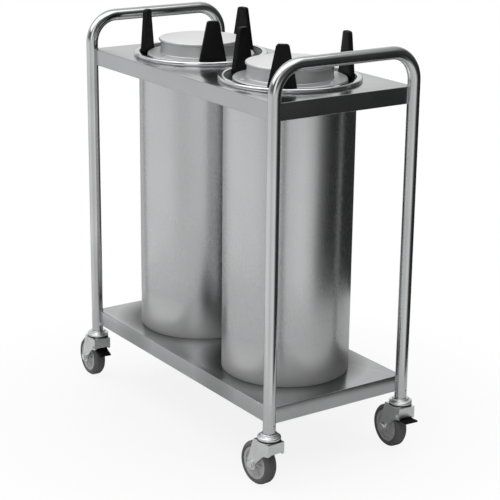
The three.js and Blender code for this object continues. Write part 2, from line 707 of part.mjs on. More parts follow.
function wheelTyre() {
  const inner = WHEEL_RADIUS - TYRE_DEPTH;
  const half = WHEEL_WIDTH / 2;
  const tread = half - TYRE_SHOULDER;
  return revolved([
    [inner, -half + TYRE_BEAD_INSET],
    [WHEEL_RADIUS - TYRE_SHOULDER, -half],
    [WHEEL_RADIUS - TYRE_SHOULDER / 4, -half + TYRE_SHOULDER / 2],
    [WHEEL_RADIUS, -tread],
    [WHEEL_RADIUS, tread],
    [WHEEL_RADIUS - TYRE_SHOULDER / 4, half - TYRE_SHOULDER / 2],
    [WHEEL_RADIUS - TYRE_SHOULDER, half],
    [inner, half - TYRE_BEAD_INSET],
  ], WHEEL_SIDES).rotateX(Math.PI / 2);
}

// A pressed lever on its pin: the pad points at the tread and the pedal stands out in front.
function brakeLever() {
  const padAngle = radians(BRAKE_PAD_ANGLE);
  const top = -BRAKE_ARM_DROP;
  const low = top - BRAKE_ARM_THICKNESS;
  const tip = -BRAKE_ARM_LENGTH;
  const treadle = tip + BRAKE_PEDAL_LENGTH;
  const rise = BRAKE_PEDAL_RISE;
  const side = new THREE.Shape()
    .moveTo(0, -rise)
    .lineTo(rise - BRAKE_BOSS_RADIUS, -rise)
    .quadraticCurveTo(-BRAKE_BOSS_RADIUS, top, tip / 3, top)
    .lineTo(treadle, top + rise)
    .quadraticCurveTo(tip, top + rise, tip, top - rise)
    .quadraticCurveTo(tip, low, treadle, low + rise)
    .lineTo(tip / 4, low)
    .quadraticCurveTo(0, low, BRAKE_PAD_RADIUS, top)
    .closePath();
  const blade = plate(side, BRAKE_WIDTH, 4).rotateX(Math.PI / 2).translate(0, BRAKE_WIDTH / 2, 0);
  const boss = crossPin(BRAKE_BOSS_RADIUS, BRAKE_WIDTH, SMALL_SIDES);
  const pad = crossPin(BRAKE_PAD_RADIUS, BRAKE_WIDTH, ROD_SIDES)
    .translate(BRAKE_PAD_REACH * Math.cos(padAngle), 0, BRAKE_PAD_REACH * Math.sin(padAngle));
  const neck = block(BRAKE_PAD_REACH, BRAKE_WIDTH, BRAKE_PAD_RADIUS * 2)
    .translate(BRAKE_PAD_REACH / 2, 0, -BRAKE_PAD_RADIUS)
    .rotateY(-padAngle);
  const pinHole = crossPin(BRAKE_PIN_RADIUS + FIT, 2 * BRAKE_WIDTH, ROD_SIDES);
  return cut(joined(blade, boss, pad, neck), pinHole);
}

function addBrake(caster, name, state) {
  const pin = addPiece(caster, `${name}_brake_pin`, headedPin(
    BRAKE_PIN_RADIUS,
    BRAKE_PIN_HEAD_RADIUS,
    BRAKE_PIN_HEAD_HEIGHT,
    ROD_SIDES,
  ), 'zincPlate');
  const lever = addPiece(caster, `${name}_brake_lever`, brakeLever(), 'blackPlastic');
  for (const piece of [pin, lever]) piece.position.set(-BRAKE_PIVOT_FORWARD, 0, BRAKE_PIVOT_HEIGHT);
  if (state === 'on') lever.rotation.y = -radians(BRAKE_THROW);
}

function addCaster({ name, x, y, trails, brake }) {
  const caster = new THREE.Group();
  caster.position.set(x * POST_X, y * POST_Y, 0);
  caster.rotation.z = bearingTurn(trails);
  cart.add(caster);
  addPiece(caster, `${name}_caster_stem`, casterStem(), 'zincPlate');
  addPiece(caster, `${name}_caster_fork`, casterFork(), 'zincPlate');
  const axle = headedPin(AXLE_RADIUS, AXLE_HEAD_RADIUS, AXLE_HEAD_HEIGHT, ROD_SIDES);
  const wheelPieces = [
    addPiece(caster, `${name}_axle`, axle, 'zincPlate'),
    addPiece(caster, `${name}_wheel_hub`, wheelHub(), 'greyPlastic'),
    addPiece(caster, `${name}_tyre`, wheelTyre(), 'greyTyre'),
  ];
  for (const piece of wheelPieces) piece.position.set(CASTER_TRAIL, 0, WHEEL_RADIUS);
  if (brake) addBrake(caster, name, brake);
}

// ---------------------------------------------------------------- assembly

addEndFrames();
addDecks();
addStiffener();
addDispenser('left', -1);
addDispenser('right', 1);
CASTERS.forEach(addCaster);

// The origin is on the floor, under the middle of everything that the cart covers.
const footprint = new THREE.Box3().setFromObject(cart).getCenter(new THREE.Vector3());
cart.position.set(-footprint.x, -footprint.y, 0);

export default cart;
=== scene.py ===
"""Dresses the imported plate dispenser: smooth pieces, procedural finishes, studio and camera.

Every piece is modelled with Blender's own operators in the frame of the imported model: X along
the cart, Y across it with the front at -Y, and Z up from the floor. Lengths are in millimetres,
except for what Blender and the frame take and give, which is in metres.
"""

import logging
import math
from contextlib import contextmanager
from dataclasses import dataclass, field, replace
from enum import Enum
from typing import Iterator, Optional, Sequence

import bpy
from mathutils import Matrix, Vector


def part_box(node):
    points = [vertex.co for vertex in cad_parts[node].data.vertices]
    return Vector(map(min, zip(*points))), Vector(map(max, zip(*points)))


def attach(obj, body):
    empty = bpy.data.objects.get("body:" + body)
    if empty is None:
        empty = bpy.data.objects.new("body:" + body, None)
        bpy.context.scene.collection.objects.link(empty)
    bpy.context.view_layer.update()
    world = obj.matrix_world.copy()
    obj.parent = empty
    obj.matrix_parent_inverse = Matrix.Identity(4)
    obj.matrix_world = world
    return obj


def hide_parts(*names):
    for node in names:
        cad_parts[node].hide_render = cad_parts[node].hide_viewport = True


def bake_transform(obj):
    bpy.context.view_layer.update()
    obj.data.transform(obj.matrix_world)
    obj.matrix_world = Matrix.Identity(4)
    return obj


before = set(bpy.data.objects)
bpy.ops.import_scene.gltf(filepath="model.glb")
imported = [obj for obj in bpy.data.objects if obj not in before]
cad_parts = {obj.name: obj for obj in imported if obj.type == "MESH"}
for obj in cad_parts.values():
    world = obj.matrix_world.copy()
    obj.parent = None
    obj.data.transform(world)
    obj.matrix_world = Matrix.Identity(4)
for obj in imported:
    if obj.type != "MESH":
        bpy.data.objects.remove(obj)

LOG = logging.getLogger("plate_dispenser")
SIDES = ("left", "right")
MM = 0.001
QUARTER = math.pi / 2
UPRIGHT = Matrix.Rotation(QUARTER, 4, "X")
CROSSWISE = Matrix.Rotation(QUARTER, 4, "Z") @ UPRIGHT

Piece = bpy.types.Object
Socket = bpy.types.NodeSocket
Row = tuple[float, ...]
Point = tuple[float, float]
Triple = tuple[float, float, float]
Tones = tuple[Point, ...]

# Points nearer than this, in metres, are one. A dome's profile has this many steps.
SAME_SPOT = 2e-6
DOME_STEPS = 5


# ---------------------------------------------------------------- outlines


@dataclass(frozen=True)
class Corner:
    """A corner of an outline, in millimetres, with the radius it is rounded to."""

    x: float
    y: float
    radius: float = 0.0
    steps: int = 5

    @property
    def spot(self) -> Vector:
        """The corner's place."""
        return Vector((self.x, self.y))


def rounded(rows: Sequence[Row], closed: bool = True) -> list[Point]:
    """Rounds the corners of an outline.

    Args:
        rows: The corners in order, each with the values of a Corner.
        closed: Whether the last corner joins the first.

    Returns:
        The points of the outline, in metres.
    """
    corners = [Corner(*row) for row in rows]
    points: list[Point] = []
    for index, corner in enumerate(corners):
        inner = closed or 0 < index < len(corners) - 1
        if corner.radius <= 0 or not inner:
            points.append((corner.x * MM, corner.y * MM))
            continue
        here = corner.spot
        before = (corners[index - 1].spot - here).normalized()
        after = (corners[(index + 1) % len(corners)].spot - here).normalized()
        half = before.angle(after) / 2
        reach = corner.radius / math.tan(half)
        centre = here + (before + after).normalized() * (corner.radius / math.sin(half))
        start = here + before * reach - centre
        turn = start.angle_signed(here + after * reach - centre)
        for step in range(corner.steps + 1):
            spoke = start.copy()
            spoke.rotate(Matrix.Rotation(-turn * step / corner.steps, 2))
            point = centre + spoke
            points.append((point.x * MM, point.y * MM))
    return points


# ---------------------------------------------------------------- modelling


def shift(x: float = 0.0, y: float = 0.0, z: float = 0.0) -> Matrix:
    """A move, in millimetres.

    Args:
        x: Along X.
        y: Along Y.
        z: Along Z.

    Returns:
        The move.
    """
    return Matrix.Translation((x * MM, y * MM, z * MM))


def pick(*pieces: Piece) -> None:
    """Selects some pieces alone, with the first one active.

    Args:
        *pieces: The pieces.
    """
    bpy.ops.object.select_all(action="DESELECT")
    for piece in pieces:
        piece.select_set(True)
    bpy.context.view_layer.objects.active = pieces[0]


@contextmanager
def editing(obj: Piece) -> Iterator[None]:
    """Edit mode on one object, with everything in it selected.

    Args:
        obj: The object to edit.
    """
    pick(obj)
    bpy.ops.object.mode_set(mode="EDIT")
    bpy.ops.mesh.select_all(action="SELECT")
    try:
        yield
    finally:
        bpy.ops.object.mode_set(mode="OBJECT")


def named(name: str) -> Piece:
    """Names the object that an operator has just made.

    Args:
        name: The piece's name.

    Returns:
        The object.
    """
    obj = bpy.context.object
    obj.name = name
    obj.data.name = name
    return obj


def place(obj: Piece, matrix: Matrix) -> Piece:
    """Moves and turns a piece, and keeps its object at the origin.

    Args:
        obj: The piece.
        matrix: Where it goes.

    Returns:
        The piece.
    """
    pick(obj)
    obj.matrix_world = matrix
    bpy.ops.object.transform_apply(location=True, rotation=True, scale=True)
    return obj


def joined(name: str, pieces: Sequence[Piece]) -> Piece:
    """Joins several solids into one piece.

    Args:
        name: The piece's name.
        pieces: The solids.

    Returns:
        The joined piece.
    """
    pick(*pieces)
    bpy.ops.object.join()
    return named(name)


def copied(source: Piece, name: str, matrix: Matrix) -> Piece:
    """Copies a piece with a mesh of its own to another place.

    Args:
        source: The piece to copy.
        name: The copy's name.
        matrix: Where the copy goes.

    Returns:
        The copy.
    """
    mesh = source.data.copy()
    mesh.name = name
    copy = bpy.data.objects.new(name, mesh)
    bpy.context.scene.collection.objects.link(copy)
    return place(copy, matrix)


def extrude(value: Sequence[float]) -> None:
    """In edit mode, extrudes what is selected.

    Args:
        value: How far, in metres.
    """
    bpy.ops.mesh.extrude_region_move(TRANSFORM_OT_translate={"value": value})


def spin(steps: int, angle: float, centre: Sequence[float], axis: Sequence[float]) -> None:
    """In edit mode, spins what is selected.

    Args:
        steps: How many steps.
        angle: How far, in radians.
        centre: A point of the axis.
        axis: The axis.
    """
    bpy.ops.mesh.spin(steps=steps, angle=angle, center=centre, axis=axis)


def tidy_normals() -> None:
    """In edit mode, merges what coincides and turns every face outwards."""
    bpy.ops.mesh.select_all(action="SELECT")
    bpy.ops.mesh.remove_doubles(threshold=SAME_SPOT)
    bpy.ops.mesh.normals_make_consistent(inside=False)


def apply_modifier(obj: Piece, kind: str, **settings: object) -> None:
    """Adds a modifier to an object and applies it.

    Args:
        obj: The object.
        kind: The modifier's type.
        **settings: The modifier's settings.
    """
    pick(obj)
    modifier = obj.modifiers.new(kind.title(), kind)
    for key, value in settings.items():
        setattr(modifier, key, value)
    bpy.ops.object.modifier_apply(modifier=modifier.name)


def soften(obj: Piece, width: float, segments: int = 3, angle: float = 35.0) -> None:
    """Rounds the sharp edges of a piece.

    Args:
        obj: The piece.
        width: The rounding's width.
        segments: Steps in the rounding.
        angle: Edges sharper than this are rounded, in degrees.
    """
    apply_modifier(
        obj,
        "BEVEL",
        width=width * MM,
        segments=segments,
        limit_method="ANGLE",
        angle_limit=math.radians(angle),
        miter_outer="MITER_ARC",
    )


def combine(obj: Piece, operation: str, others: Sequence[Piece]) -> None:
    """Adds other solids to a piece, cuts them out or keeps what is shared, and removes them.

    Args:
        obj: The piece.
        operation: UNION, DIFFERENCE or INTERSECT.
        others: The other solids.
    """
    for other in others:
        apply_modifier(obj, "BOOLEAN", operation=operation, object=other, solver="EXACT")
        bpy.data.objects.remove(other)


def trace(name: str, points: Sequence[Sequence[float]], closed: bool) -> Piece:
    """Draws a chain of edges by extruding one vertex from point to point.

    Args:
        name: The new object's name.
        points: Points of two or three coordinates, in metres.
        closed: Whether the chain ends where it starts.

    Returns:
        The new object.
    """
    path = [Vector((*point, 0.0)[:3]) for point in points]
    if closed:
        path.append(path[0].copy())
    bpy.ops.object.select_all(action="DESELECT")
    bpy.ops.mesh.primitive_plane_add(size=MM)
    obj = named(name)
    with editing(obj):
        bpy.ops.mesh.merge(type="CENTER")
        bpy.ops.transform.translate(value=path[0])
        for start, end in zip(path, path[1:]):
            extrude(end - start)
        bpy.ops.mesh.select_all(action="SELECT")
        bpy.ops.mesh.remove_doubles(threshold=SAME_SPOT / 2)
    return obj


def revolve(name: str, rows: Sequence[Row], sides: int = 96, closed: bool = True) -> Piece:
    """Spins an outline of radii and heights round Z.

    Args:
        name: The new object's name.
        rows: The corners of the section.
        sides: Steps in a full turn.
        closed: Whether the section closes on itself, rather than ending on the axis.

    Returns:
        The new object.
    """
    section = [(radius, 0.0, height) for radius, height in rounded(rows, closed)]
    obj = trace(name, section, closed)
    with editing(obj):
        spin(sides, 2 * math.pi, (0, 0, 0), (0, 0, 1))
        tidy_normals()
    return obj


def plate(name: str, rows: Sequence[Row], thickness: float) -> Piece:
    """Extrudes a flat outline up Z into a plate.

    Args:
        name: The new object's name.
        rows: The corners of its outline.
        thickness: How thick.

    Returns:
        The new object.
    """
    obj = trace(name, rounded(rows), closed=True)
    with editing(obj):
        bpy.ops.mesh.edge_face_add()
        extrude((0, 0, thickness * MM))
        tidy_normals()
    return obj


def circle(name: str, radius: float, sides: int, matrix: Matrix, filled: bool = False) -> Piece:
    """A ring of edges, or a disc, in its place.

    Args:
        name: The new object's name.
        radius: Its radius.
        sides: Steps round it.
        matrix: Where it goes.
        filled: Whether it is a disc.

    Returns:
        The new object.
    """
    bpy.ops.object.select_all(action="DESELECT")
    bpy.ops.mesh.primitive_circle_add(
        vertices=sides, radius=radius * MM, fill_type="NGON" if filled else "NOTHING"
    )
    return place(named(name), matrix)


def rod(name: str, radius: float, length: float, sides: int = 32, edge: float = 0.0) -> Piece:
    """A round bar up Z from the origin.

    Args:
        name: The new object's name.
        radius: Its radius.
        length: Its length.
        sides: Steps round it.
        edge: The rounding of its ends.

    Returns:
        The new object.
    """
    bpy.ops.object.select_all(action="DESELECT")
    bpy.ops.mesh.primitive_cylinder_add(vertices=sides, radius=radius * MM, depth=length * MM)
    obj = place(named(name), shift(z=length / 2))
    if edge > 0:
        soften(obj, edge)
    return obj


def hexagon(name: str, across: float, height: float) -> Piece:
    """A hexagonal bolt head or nut up Z from the origin, with chamfered corners.

    Args:
        name: The new object's name.
        across: Its width across flats.
        height: Its height.

    Returns:
        The new object.
    """
    radius = across / math.sqrt(3)
    turns = [math.pi / 3 * index for index in range(6)]
    body = plate(name, [(radius * math.cos(t), radius * math.sin(t)) for t in turns], height)
    wide, narrow, crest = radius * 1.4, radius * 0.82, height * 1.02
    cone = [(0, -height), (wide, -height), (wide, height * 0.62), (narrow, crest), (0, crest)]
    combine(body, "INTERSECT", [revolve("chamfer", cone, 48, closed=False)])
    soften(body, 0.25, segments=2, angle=25)
    return body


def dome(name: str, radius: float, height: float) -> Piece:
    """A low round head, such as a rivet's, up Z from the origin.

    Args:
        name: The new object's name.
        radius: Its radius.
        height: Its height.

    Returns:
        The new object.
    """
    turns = [QUARTER * step / DOME_STEPS for step in range(DOME_STEPS)]
    arc = [(radius * math.cos(t), height * (0.25 + 0.75 * math.sin(t))) for t in turns]
    return revolve(name, [(0, 0), (radius, 0), *arc, (0, height)], 24, closed=False)


# ---------------------------------------------------------------- places in the frame


def centre_of(node: str) -> Vector:
    """The middle of a solid's box.

    Args:
        node: The solid's name.

    Returns:
        Its middle, in metres.
    """
    low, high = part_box(node)
    return (Vector(low) + Vector(high)) / 2


def heights(node: str) -> Point:
    """The lowest and highest height of a solid.

    Args:
        node: The solid's name.

    Returns:
        The two heights, in millimetres.
    """
    low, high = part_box(node)
    return low[2] / MM, high[2] / MM




# ---------------------------------------------------------------- finishes

# Spans and steps of the noise, and the places of the painted light and shade in metres.
NOISE_SHIFT = (0.37, 0.61, 0.23)
NOISE_SPAN = (0.3, 0.7)
BLOTCH_SPAN = (0.35, 0.65)
DUST_SPAN = (0.42, 0.72)
STREAKS = (-0.04, 0.1)
MOULDED_STRETCH = (8.0, 8.0, 8.0)
# Where the painted light and shade go: a painted sheen on upward faces above the platform height,
# a lighter painted band at the tubes' feet, and a painted contact shadow round the tubes on the
# base deck.
FACING_UP = (0.8, 0.97)
TUBE_PLACE = 0.186
PLATFORM_ABOVE = 0.895
FOOT_BAND = (0.2, 0.29)
CONTACT_SHADE_RING = (0.154, 0.21)
BUMP_DEPTH = 0.0002


def grey(tone: float) -> tuple[float, ...]:
    """A grey as the value of a colour socket.

    Args:
        tone: How light it is.

    Returns:
        The colour.
    """
    return (tone, tone, tone, 1.0)


class Grain(Enum):
    """Which way a brushed surface's lines run."""

    UPRIGHT = (260.0, 260.0, 1.6)
    ALONG = (1.6, 260.0, 260.0)
    TURNED = (60.0, 60.0, 900.0)


class PaintedLightAndDulling(Enum):
    """Painted light and shade, and dulling: the grey painted in, if any, and how much rougher."""

    # A painted sheen: upward faces painted lighter for the light they catch.
    TOPS = (0.84, 0.3)
    LINING = (None, 0.45)
    # A lighter band painted at a tube's foot: painted light against the deck's dark reflection.
    FOOT = (0.8, 0.25)
    # Painted contact shadow round the tubes' feet, on the base deck.
    RING = (0.1, 0.0)


class NodeKit:
    """Adds and links the nodes of one material or node group."""

    def __init__(self, tree: bpy.types.NodeTree) -> None:
        """Starts on a node tree.

        Args:
            tree: The tree to add nodes to.
        """
        self.tree = tree

    def feed(self, node: bpy.types.Node, inputs: dict) -> None:
        """Sets or links a node's inputs.

        Args:
            node: The node.
            inputs: An output to link or a value to set, for each input.
        """
        for key, value in inputs.items():
            if isinstance(value, Socket):
                self.tree.links.new(value, node.inputs[key])
            else:
                node.inputs[key].default_value = value

    def add(self, kind: str, inputs: Optional[dict] = None, **settings: object) -> bpy.types.Node:
        """Adds a node.

        Args:
            kind: The node's type name.
            inputs: An output to link or a value to set, for each input.
            **settings: Its properties.

        Returns:
            The node.
        """
        node = self.tree.nodes.new(kind)
        for key, value in settings.items():
            setattr(node, key, value)
        self.feed(node, inputs or {})
        return node

    def math(self, operation: str, *inputs: object) -> Socket:
        """A sum on values.

        Args:
            operation: Which sum.
            *inputs: Its values or outputs.

        Returns:
            The result.
        """
        return self.add("ShaderNodeMath", dict(enumerate(inputs)), operation=operation).outputs[0]

    def parts(self, vector: Socket) -> bpy.types.NodeOutputs:
        """Splits a vector.

        Args:
            vector: The vector.

        Returns:
            Its X, Y and Z.
        """
        return self.add("ShaderNodeSeparateXYZ", {0: vector}).outputs

    def ramp(self, source: Socket, low: float, high: float, start: float, end: float) -> Socket:
        """Maps a value from one range to another.

        Args:
            source: The value.
            low: The start of its range.
            high: The end of its range.
            start: What the range's start becomes.
            end: What the range's end becomes.

        Returns:
            The mapped value.
        """
        span = {"From Min": low, "From Max": high, "To Min": start, "To Max": end}
        return self.add("ShaderNodeMapRange", {"Value": source, **span}).outputs["Result"]

    def mix(self, mask: Socket, first: object, second: object) -> Socket:
        """Mixes two colours by a mask.

        Args:
            mask: Nought for the first colour and one for the second.
            first: The first colour, as a value or an output.
            second: The second colour, as a value or an output.

        Returns:
            The mixed colour.
        """
        node = self.add("ShaderNodeMix", data_type="RGBA")
        self.feed(node, {0: mask, 6: first, 7: second})
        return node.outputs[2]

    def bump(self, height: Socket, strength: float) -> Socket:
        """Raises a fine relief.

        Args:
            height: The relief.
            strength: How strong it is.

        Returns:
            The normal.
        """
        relief = {"Strength": strength, "Distance": BUMP_DEPTH, "Height": height}
        return self.add("ShaderNodeBump", relief).outputs["Normal"]


def grain_group() -> bpy.types.NodeTree:
    """The shared group that makes brush lines and smudges.

    Returns:
        The node group: a vector in, and lines, smudges and blotches out.
    """
    name = "brush_lines_and_smudges"
    if name in bpy.data.node_groups:
        return bpy.data.node_groups[name]
    group = bpy.data.node_groups.new(name, "ShaderNodeTree")
    for socket in ("Vector", "Stretch"):
        group.interface.new_socket(socket, in_out="INPUT", socket_type="NodeSocketVector")
    for socket in ("Lines", "Smudges", "Blotches"):
        group.interface.new_socket(socket, in_out="OUTPUT", socket_type="NodeSocketFloat")
    kit = NodeKit(group)
    entry = kit.add("NodeGroupInput").outputs
    stretched = kit.add(
        "ShaderNodeVectorMath", {0: entry["Vector"], 1: entry["Stretch"]}, operation="MULTIPLY"
    ).outputs[0]
    leave = {}
    for socket, vector, noise in (
        ("Lines", stretched, {"Scale": 5.0, "Detail": 4.0, "Roughness": 0.62}),
        ("Smudges", entry["Vector"], {"Scale": 14.0, "Detail": 3.0, "Distortion": 0.15}),
        ("Blotches", entry["Vector"], {"Scale": 4.5, "Detail": 2.0, "Distortion": 0.15}),
    ):
        leave[socket] = kit.add("ShaderNodeTexNoise", {"Vector": vector, **noise}).outputs["Fac"]
    kit.add("NodeGroupOutput", leave)
    return group


@dataclass(frozen=True)
class Finish:
    """A surface finish that builds its own procedural material."""

    name: str
    color: Triple
    roughness: float
    slot: str

    def material(self) -> bpy.types.Material:
        """The finish's material, built the first time it is asked for.

        Returns:
            The material.
        """
        if self.name in bpy.data.materials:
            return bpy.data.materials[self.name]
        material = bpy.data.materials.new(self.name)
        material.use_nodes = True
        kit = NodeKit(material.node_tree)
        coords = kit.add("ShaderNodeTexCoord").outputs["Object"]
        vector = kit.add("ShaderNodeMapping", {"Vector": coords, "Location": NOISE_SHIFT})
        surface = self.surface(kit, vector.outputs["Vector"])
        kit.feed(material.node_tree.nodes["Principled BSDF"], surface)
        return material

    def surface(self, kit: NodeKit, vector: Socket) -> dict:
        """Makes the finish's own nodes.

        Args:
            kit: The material's nodes.
            vector: The object's coordinates, shifted.

        Returns:
            What goes into the Principled shader.
        """
        raise NotImplementedError

    def grain_of(
        self, kit: NodeKit, vector: Socket, stretch: Sequence[float]
    ) -> bpy.types.NodeOutputs:
        """Adds the shared grain.

        Args:
            kit: The material's nodes.
            vector: The object's coordinates, shifted.
            stretch: How fine the lines are in each direction.

        Returns:
            The group's outputs.
        """
        inputs = {"Vector": vector, "Stretch": stretch}
        return kit.add("ShaderNodeGroup", inputs, node_tree=grain_group()).outputs

    def shaded(self, amount: float) -> tuple[float, ...]:
        """The finish's colour, darker or lighter.

        Args:
            amount: What to multiply it by.

        Returns:
            The colour.
        """
        return (*(min(1.0, channel * amount) for channel in self.color), 1.0)


@dataclass(frozen=True)
class Steel(Finish):
    """Bare or plated metal, brushed or polished."""

    grain: Grain = Grain.UPRIGHT
    lines: float = 0.3
    smudge: float = 0.06
    mottle: float = 0.08
    # Painted light and shade, and duller patches, on this finish.
    light_and_dulling: tuple[PaintedLightAndDulling, ...] = ()

    def surface(self, kit: NodeKit, vector: Socket) -> dict:
        """Makes brush lines for the bump and roughness, and blotches for the colour.

        Args:
            kit: The material's nodes.
            vector: The object's coordinates, shifted.

        Returns:
            What goes into the Principled shader.
        """
        grain = self.grain_of(kit, vector, self.grain.value)
        blotches = kit.ramp(grain["Blotches"], *BLOTCH_SPAN, 0.0, 1.0)
        color = kit.mix(blotches, self.shaded(1 - self.mottle), self.shaded(1 + self.mottle))
        duller = (depth * self.lines for depth in STREAKS)
        streaks = kit.ramp(grain["Lines"], *NOISE_SPAN, *duller)
        low, high = self.roughness - self.smudge, self.roughness + self.smudge
        rough = kit.math("ADD", streaks, kit.ramp(grain["Smudges"], *NOISE_SPAN, low, high))
        # Each mark mixes in its painted grey by its mask, where it has one, and adds roughness.
        for light_and_dulling in self.light_and_dulling:
            mask = self.light_and_dulling_mask(kit, light_and_dulling, vector)
            tone, dulling = light_and_dulling.value
            if tone is not None:
                color = kit.mix(mask, color, grey(tone))
            rough = kit.math("MULTIPLY_ADD", mask, dulling, rough)
        normal = kit.bump(grain["Lines"], self.lines)
        return {"Base Color": color, "Metallic": 1.0, "Roughness": rough, "Normal": normal}

    def light_and_dulling_mask(self, kit: NodeKit, light_and_dulling: PaintedLightAndDulling, vector: Socket) -> Socket:
        """Where one kind of painted light, painted shade or dulling shows.

        Args:
            kit: The material's nodes.
            light_and_dulling: Which painted light, painted shade or dulling.
            vector: The object's coordinates, shifted.

        Returns:
            A mask, one where it is strongest.
        """
        if light_and_dulling is PaintedLightAndDulling.LINING:
            return kit.add("ShaderNodeAttribute", attribute_name="inside").outputs["Fac"]
        # The ring is painted contact shadow.
        if light_and_dulling is PaintedLightAndDulling.RING:
            return self.ring(kit, vector)
        height, lift = kit.parts(vector)["Z"], NOISE_SHIFT[2]
        # A lighter band painted at the tube's foot, as painted light.
        if light_and_dulling is PaintedLightAndDulling.FOOT:
            return kit.ramp(height, FOOT_BAND[0] + lift, FOOT_BAND[1] + lift, 1.0, 0.0)
        # The tops get a painted sheen, lighter where they face up.
        facing = kit.parts(kit.add("ShaderNodeNewGeometry").outputs["Normal"])["Z"]
        raised = kit.math("GREATER_THAN", height, PLATFORM_ABOVE + lift)
        return kit.math("MULTIPLY", kit.ramp(facing, *FACING_UP, 0.0, 1.0), raised)

    @staticmethod
    def ring(kit: NodeKit, vector: Socket) -> Socket:
        """A ring of painted contact shadow round the foot of each tube.

        Args:
            kit: The material's nodes.
            vector: The object's coordinates, shifted.

        Returns:
            A mask, one at the tubes and nought away from them.
        """
        for operation, value in (
            ("SUBTRACT", NOISE_SHIFT),
            ("ABSOLUTE", (0.0, 0.0, 0.0)),
            ("SUBTRACT", (TUBE_PLACE, 0.0, 0.0)),
            ("MULTIPLY", (1.0, 1.0, 0.0)),
        ):
            step = kit.add("ShaderNodeVectorMath", {0: vector, 1: value}, operation=operation)
            vector = step.outputs["Vector"]
        away = kit.add("ShaderNodeVectorMath", {0: vector}, operation="LENGTH")
        return kit.ramp(away.outputs["Value"], *CONTACT_SHADE_RING, 1.0, 0.0)


@dataclass(frozen=True)
class Moulded(Finish):
    """Plastic or rubber, with a fine grain and a little dust."""

    grain_size: float = 900.0
    grain_depth: float = 0.12
    dust: float = 0.25
    gloss: float = 0.42

    def surface(self, kit: NodeKit, vector: Socket) -> dict:
        """Makes the moulded grain for the bump, and dust for the colour and roughness.

        Args:
            kit: The material's nodes.
            vector: The object's coordinates, shifted.

        Returns:
            What goes into the Principled shader.
        """
        grain = self.grain_of(kit, vector, MOULDED_STRETCH)
        dust = kit.ramp(grain["Smudges"], *DUST_SPAN, 0.0, self.dust)
        dusty = (*(channel * 0.6 + 0.16 for channel in self.color), 1.0)
        low, high = self.roughness - 0.08, self.roughness + 0.1
        cells = kit.add("ShaderNodeTexVoronoi", {"Scale": self.grain_size, "Vector": vector})
        return {
            "Base Color": kit.mix(dust, (*self.color, 1.0), dusty),
            "Roughness": kit.ramp(grain["Lines"], *NOISE_SPAN, low, high),
            "Specular IOR Level": self.gloss,
            "Normal": kit.bump(cells.outputs["Distance"], self.grain_depth),
        }


# Tubes and hanger ring. Low on the tubes, a lighter band of painted light. Inside them, a rougher
# wall.
SATIN = Steel(
    "satin_steel_upright", (0.56, 0.565, 0.57), 0.27, "brushed_steel",
    lines=0.1, smudge=0.015, mottle=0.03, light_and_dulling=(PaintedLightAndDulling.LINING, PaintedLightAndDulling.FOOT),
)
DECK = Steel(
    "satin_steel_deck", (0.46, 0.465, 0.47), 0.2, "brushed_steel",
    Grain.ALONG, lines=0.12, smudge=0.02, mottle=0.04,
)
# The base deck's pan, with a dark ring of painted contact shadow round each tube's foot.
PAN = replace(DECK, name="satin_steel_pan", light_and_dulling=(PaintedLightAndDulling.RING,))
BRIGHT = Steel(
    "polished_steel_tube", (0.57, 0.575, 0.58), 0.15, "polished_steel",
    Grain.TURNED, lines=0.04, smudge=0.03,
)
RIM = replace(BRIGHT, name="polished_steel_rim", color=(0.64, 0.645, 0.65), roughness=0.18)
# The carrier's hat, with a painted sheen on its upward faces.
DISC = Steel(
    "spun_steel_disc", (0.62, 0.625, 0.63), 0.5, "brushed_steel",
    Grain.ALONG, lines=0.15, smudge=0.03, light_and_dulling=(PaintedLightAndDulling.TOPS,),
)
ZINC = Steel(
    "bright_zinc", (0.7, 0.705, 0.71), 0.3, "zinc_plate",
    Grain.TURNED, lines=0.1, smudge=0.1, mottle=0.14,
)
WELD = Steel(
    "weld_bead", (0.5, 0.49, 0.47), 0.36, "polished_steel",
    Grain.TURNED, lines=0.3, smudge=0.1, mottle=0.25,
)
WIRE = Steel("spring_wire", (0.42, 0.425, 0.43), 0.32, "spring_steel", Grain.TURNED, lines=0.1)
BLACK = Moulded("black_moulding", (0.004,) * 3, 0.5, "black_plastic", dust=0.02, gloss=0.15)
# Black for the bearing's gap ring, also as painted shade for the gap it fills.
SEAL_AND_GAP_SHADE = Moulded("black_seal_and_gap_shade", (0.014,) * 3, 0.6, "black_rubber", dust=0.2)
RUBBER = Moulded("black_rubber_stop", (0.02,) * 3, 0.75, "black_rubber", grain_size=420.0)
NYLON = Moulded("white_nylon_ring", (0.74, 0.73, 0.69), 0.5, "white_nylon", dust=0.1)
TYRE = Moulded(
    "grey_tyre_rubber", (0.11, 0.11, 0.113), 0.62, "grey_tyre",
    grain_size=600.0, grain_depth=0.2, dust=0.35,
)
HUB = Moulded("grey_hub_plastic", (0.46, 0.46, 0.465), 0.5, "grey_plastic", dust=0.2)


def finish_piece(
    obj: Piece,
    finish: Finish,
    body: Optional[str],
    nodes: Sequence[str] = (),
    angle: float = 32.0,
) -> Piece:
    """Gives a finished piece its material, its body and the solids it stands for.

    Args:
        obj: The piece, in place.
        finish: Its finish.
        body: The body it rides on, or None for a piece on no body.
        nodes: The solids it replaces.
        angle: The sharpest angle that stays smooth, in degrees.

    Returns:
        The piece.
    """
    pick(obj)
    bpy.ops.object.shade_smooth_by_angle(angle=math.radians(angle))
    obj.data.materials.clear()
    obj.data.materials.append(finish.material())
    if body:
        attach(obj, body)
    if nodes:
        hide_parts(*nodes)
    return obj


# ---------------------------------------------------------------- end frames


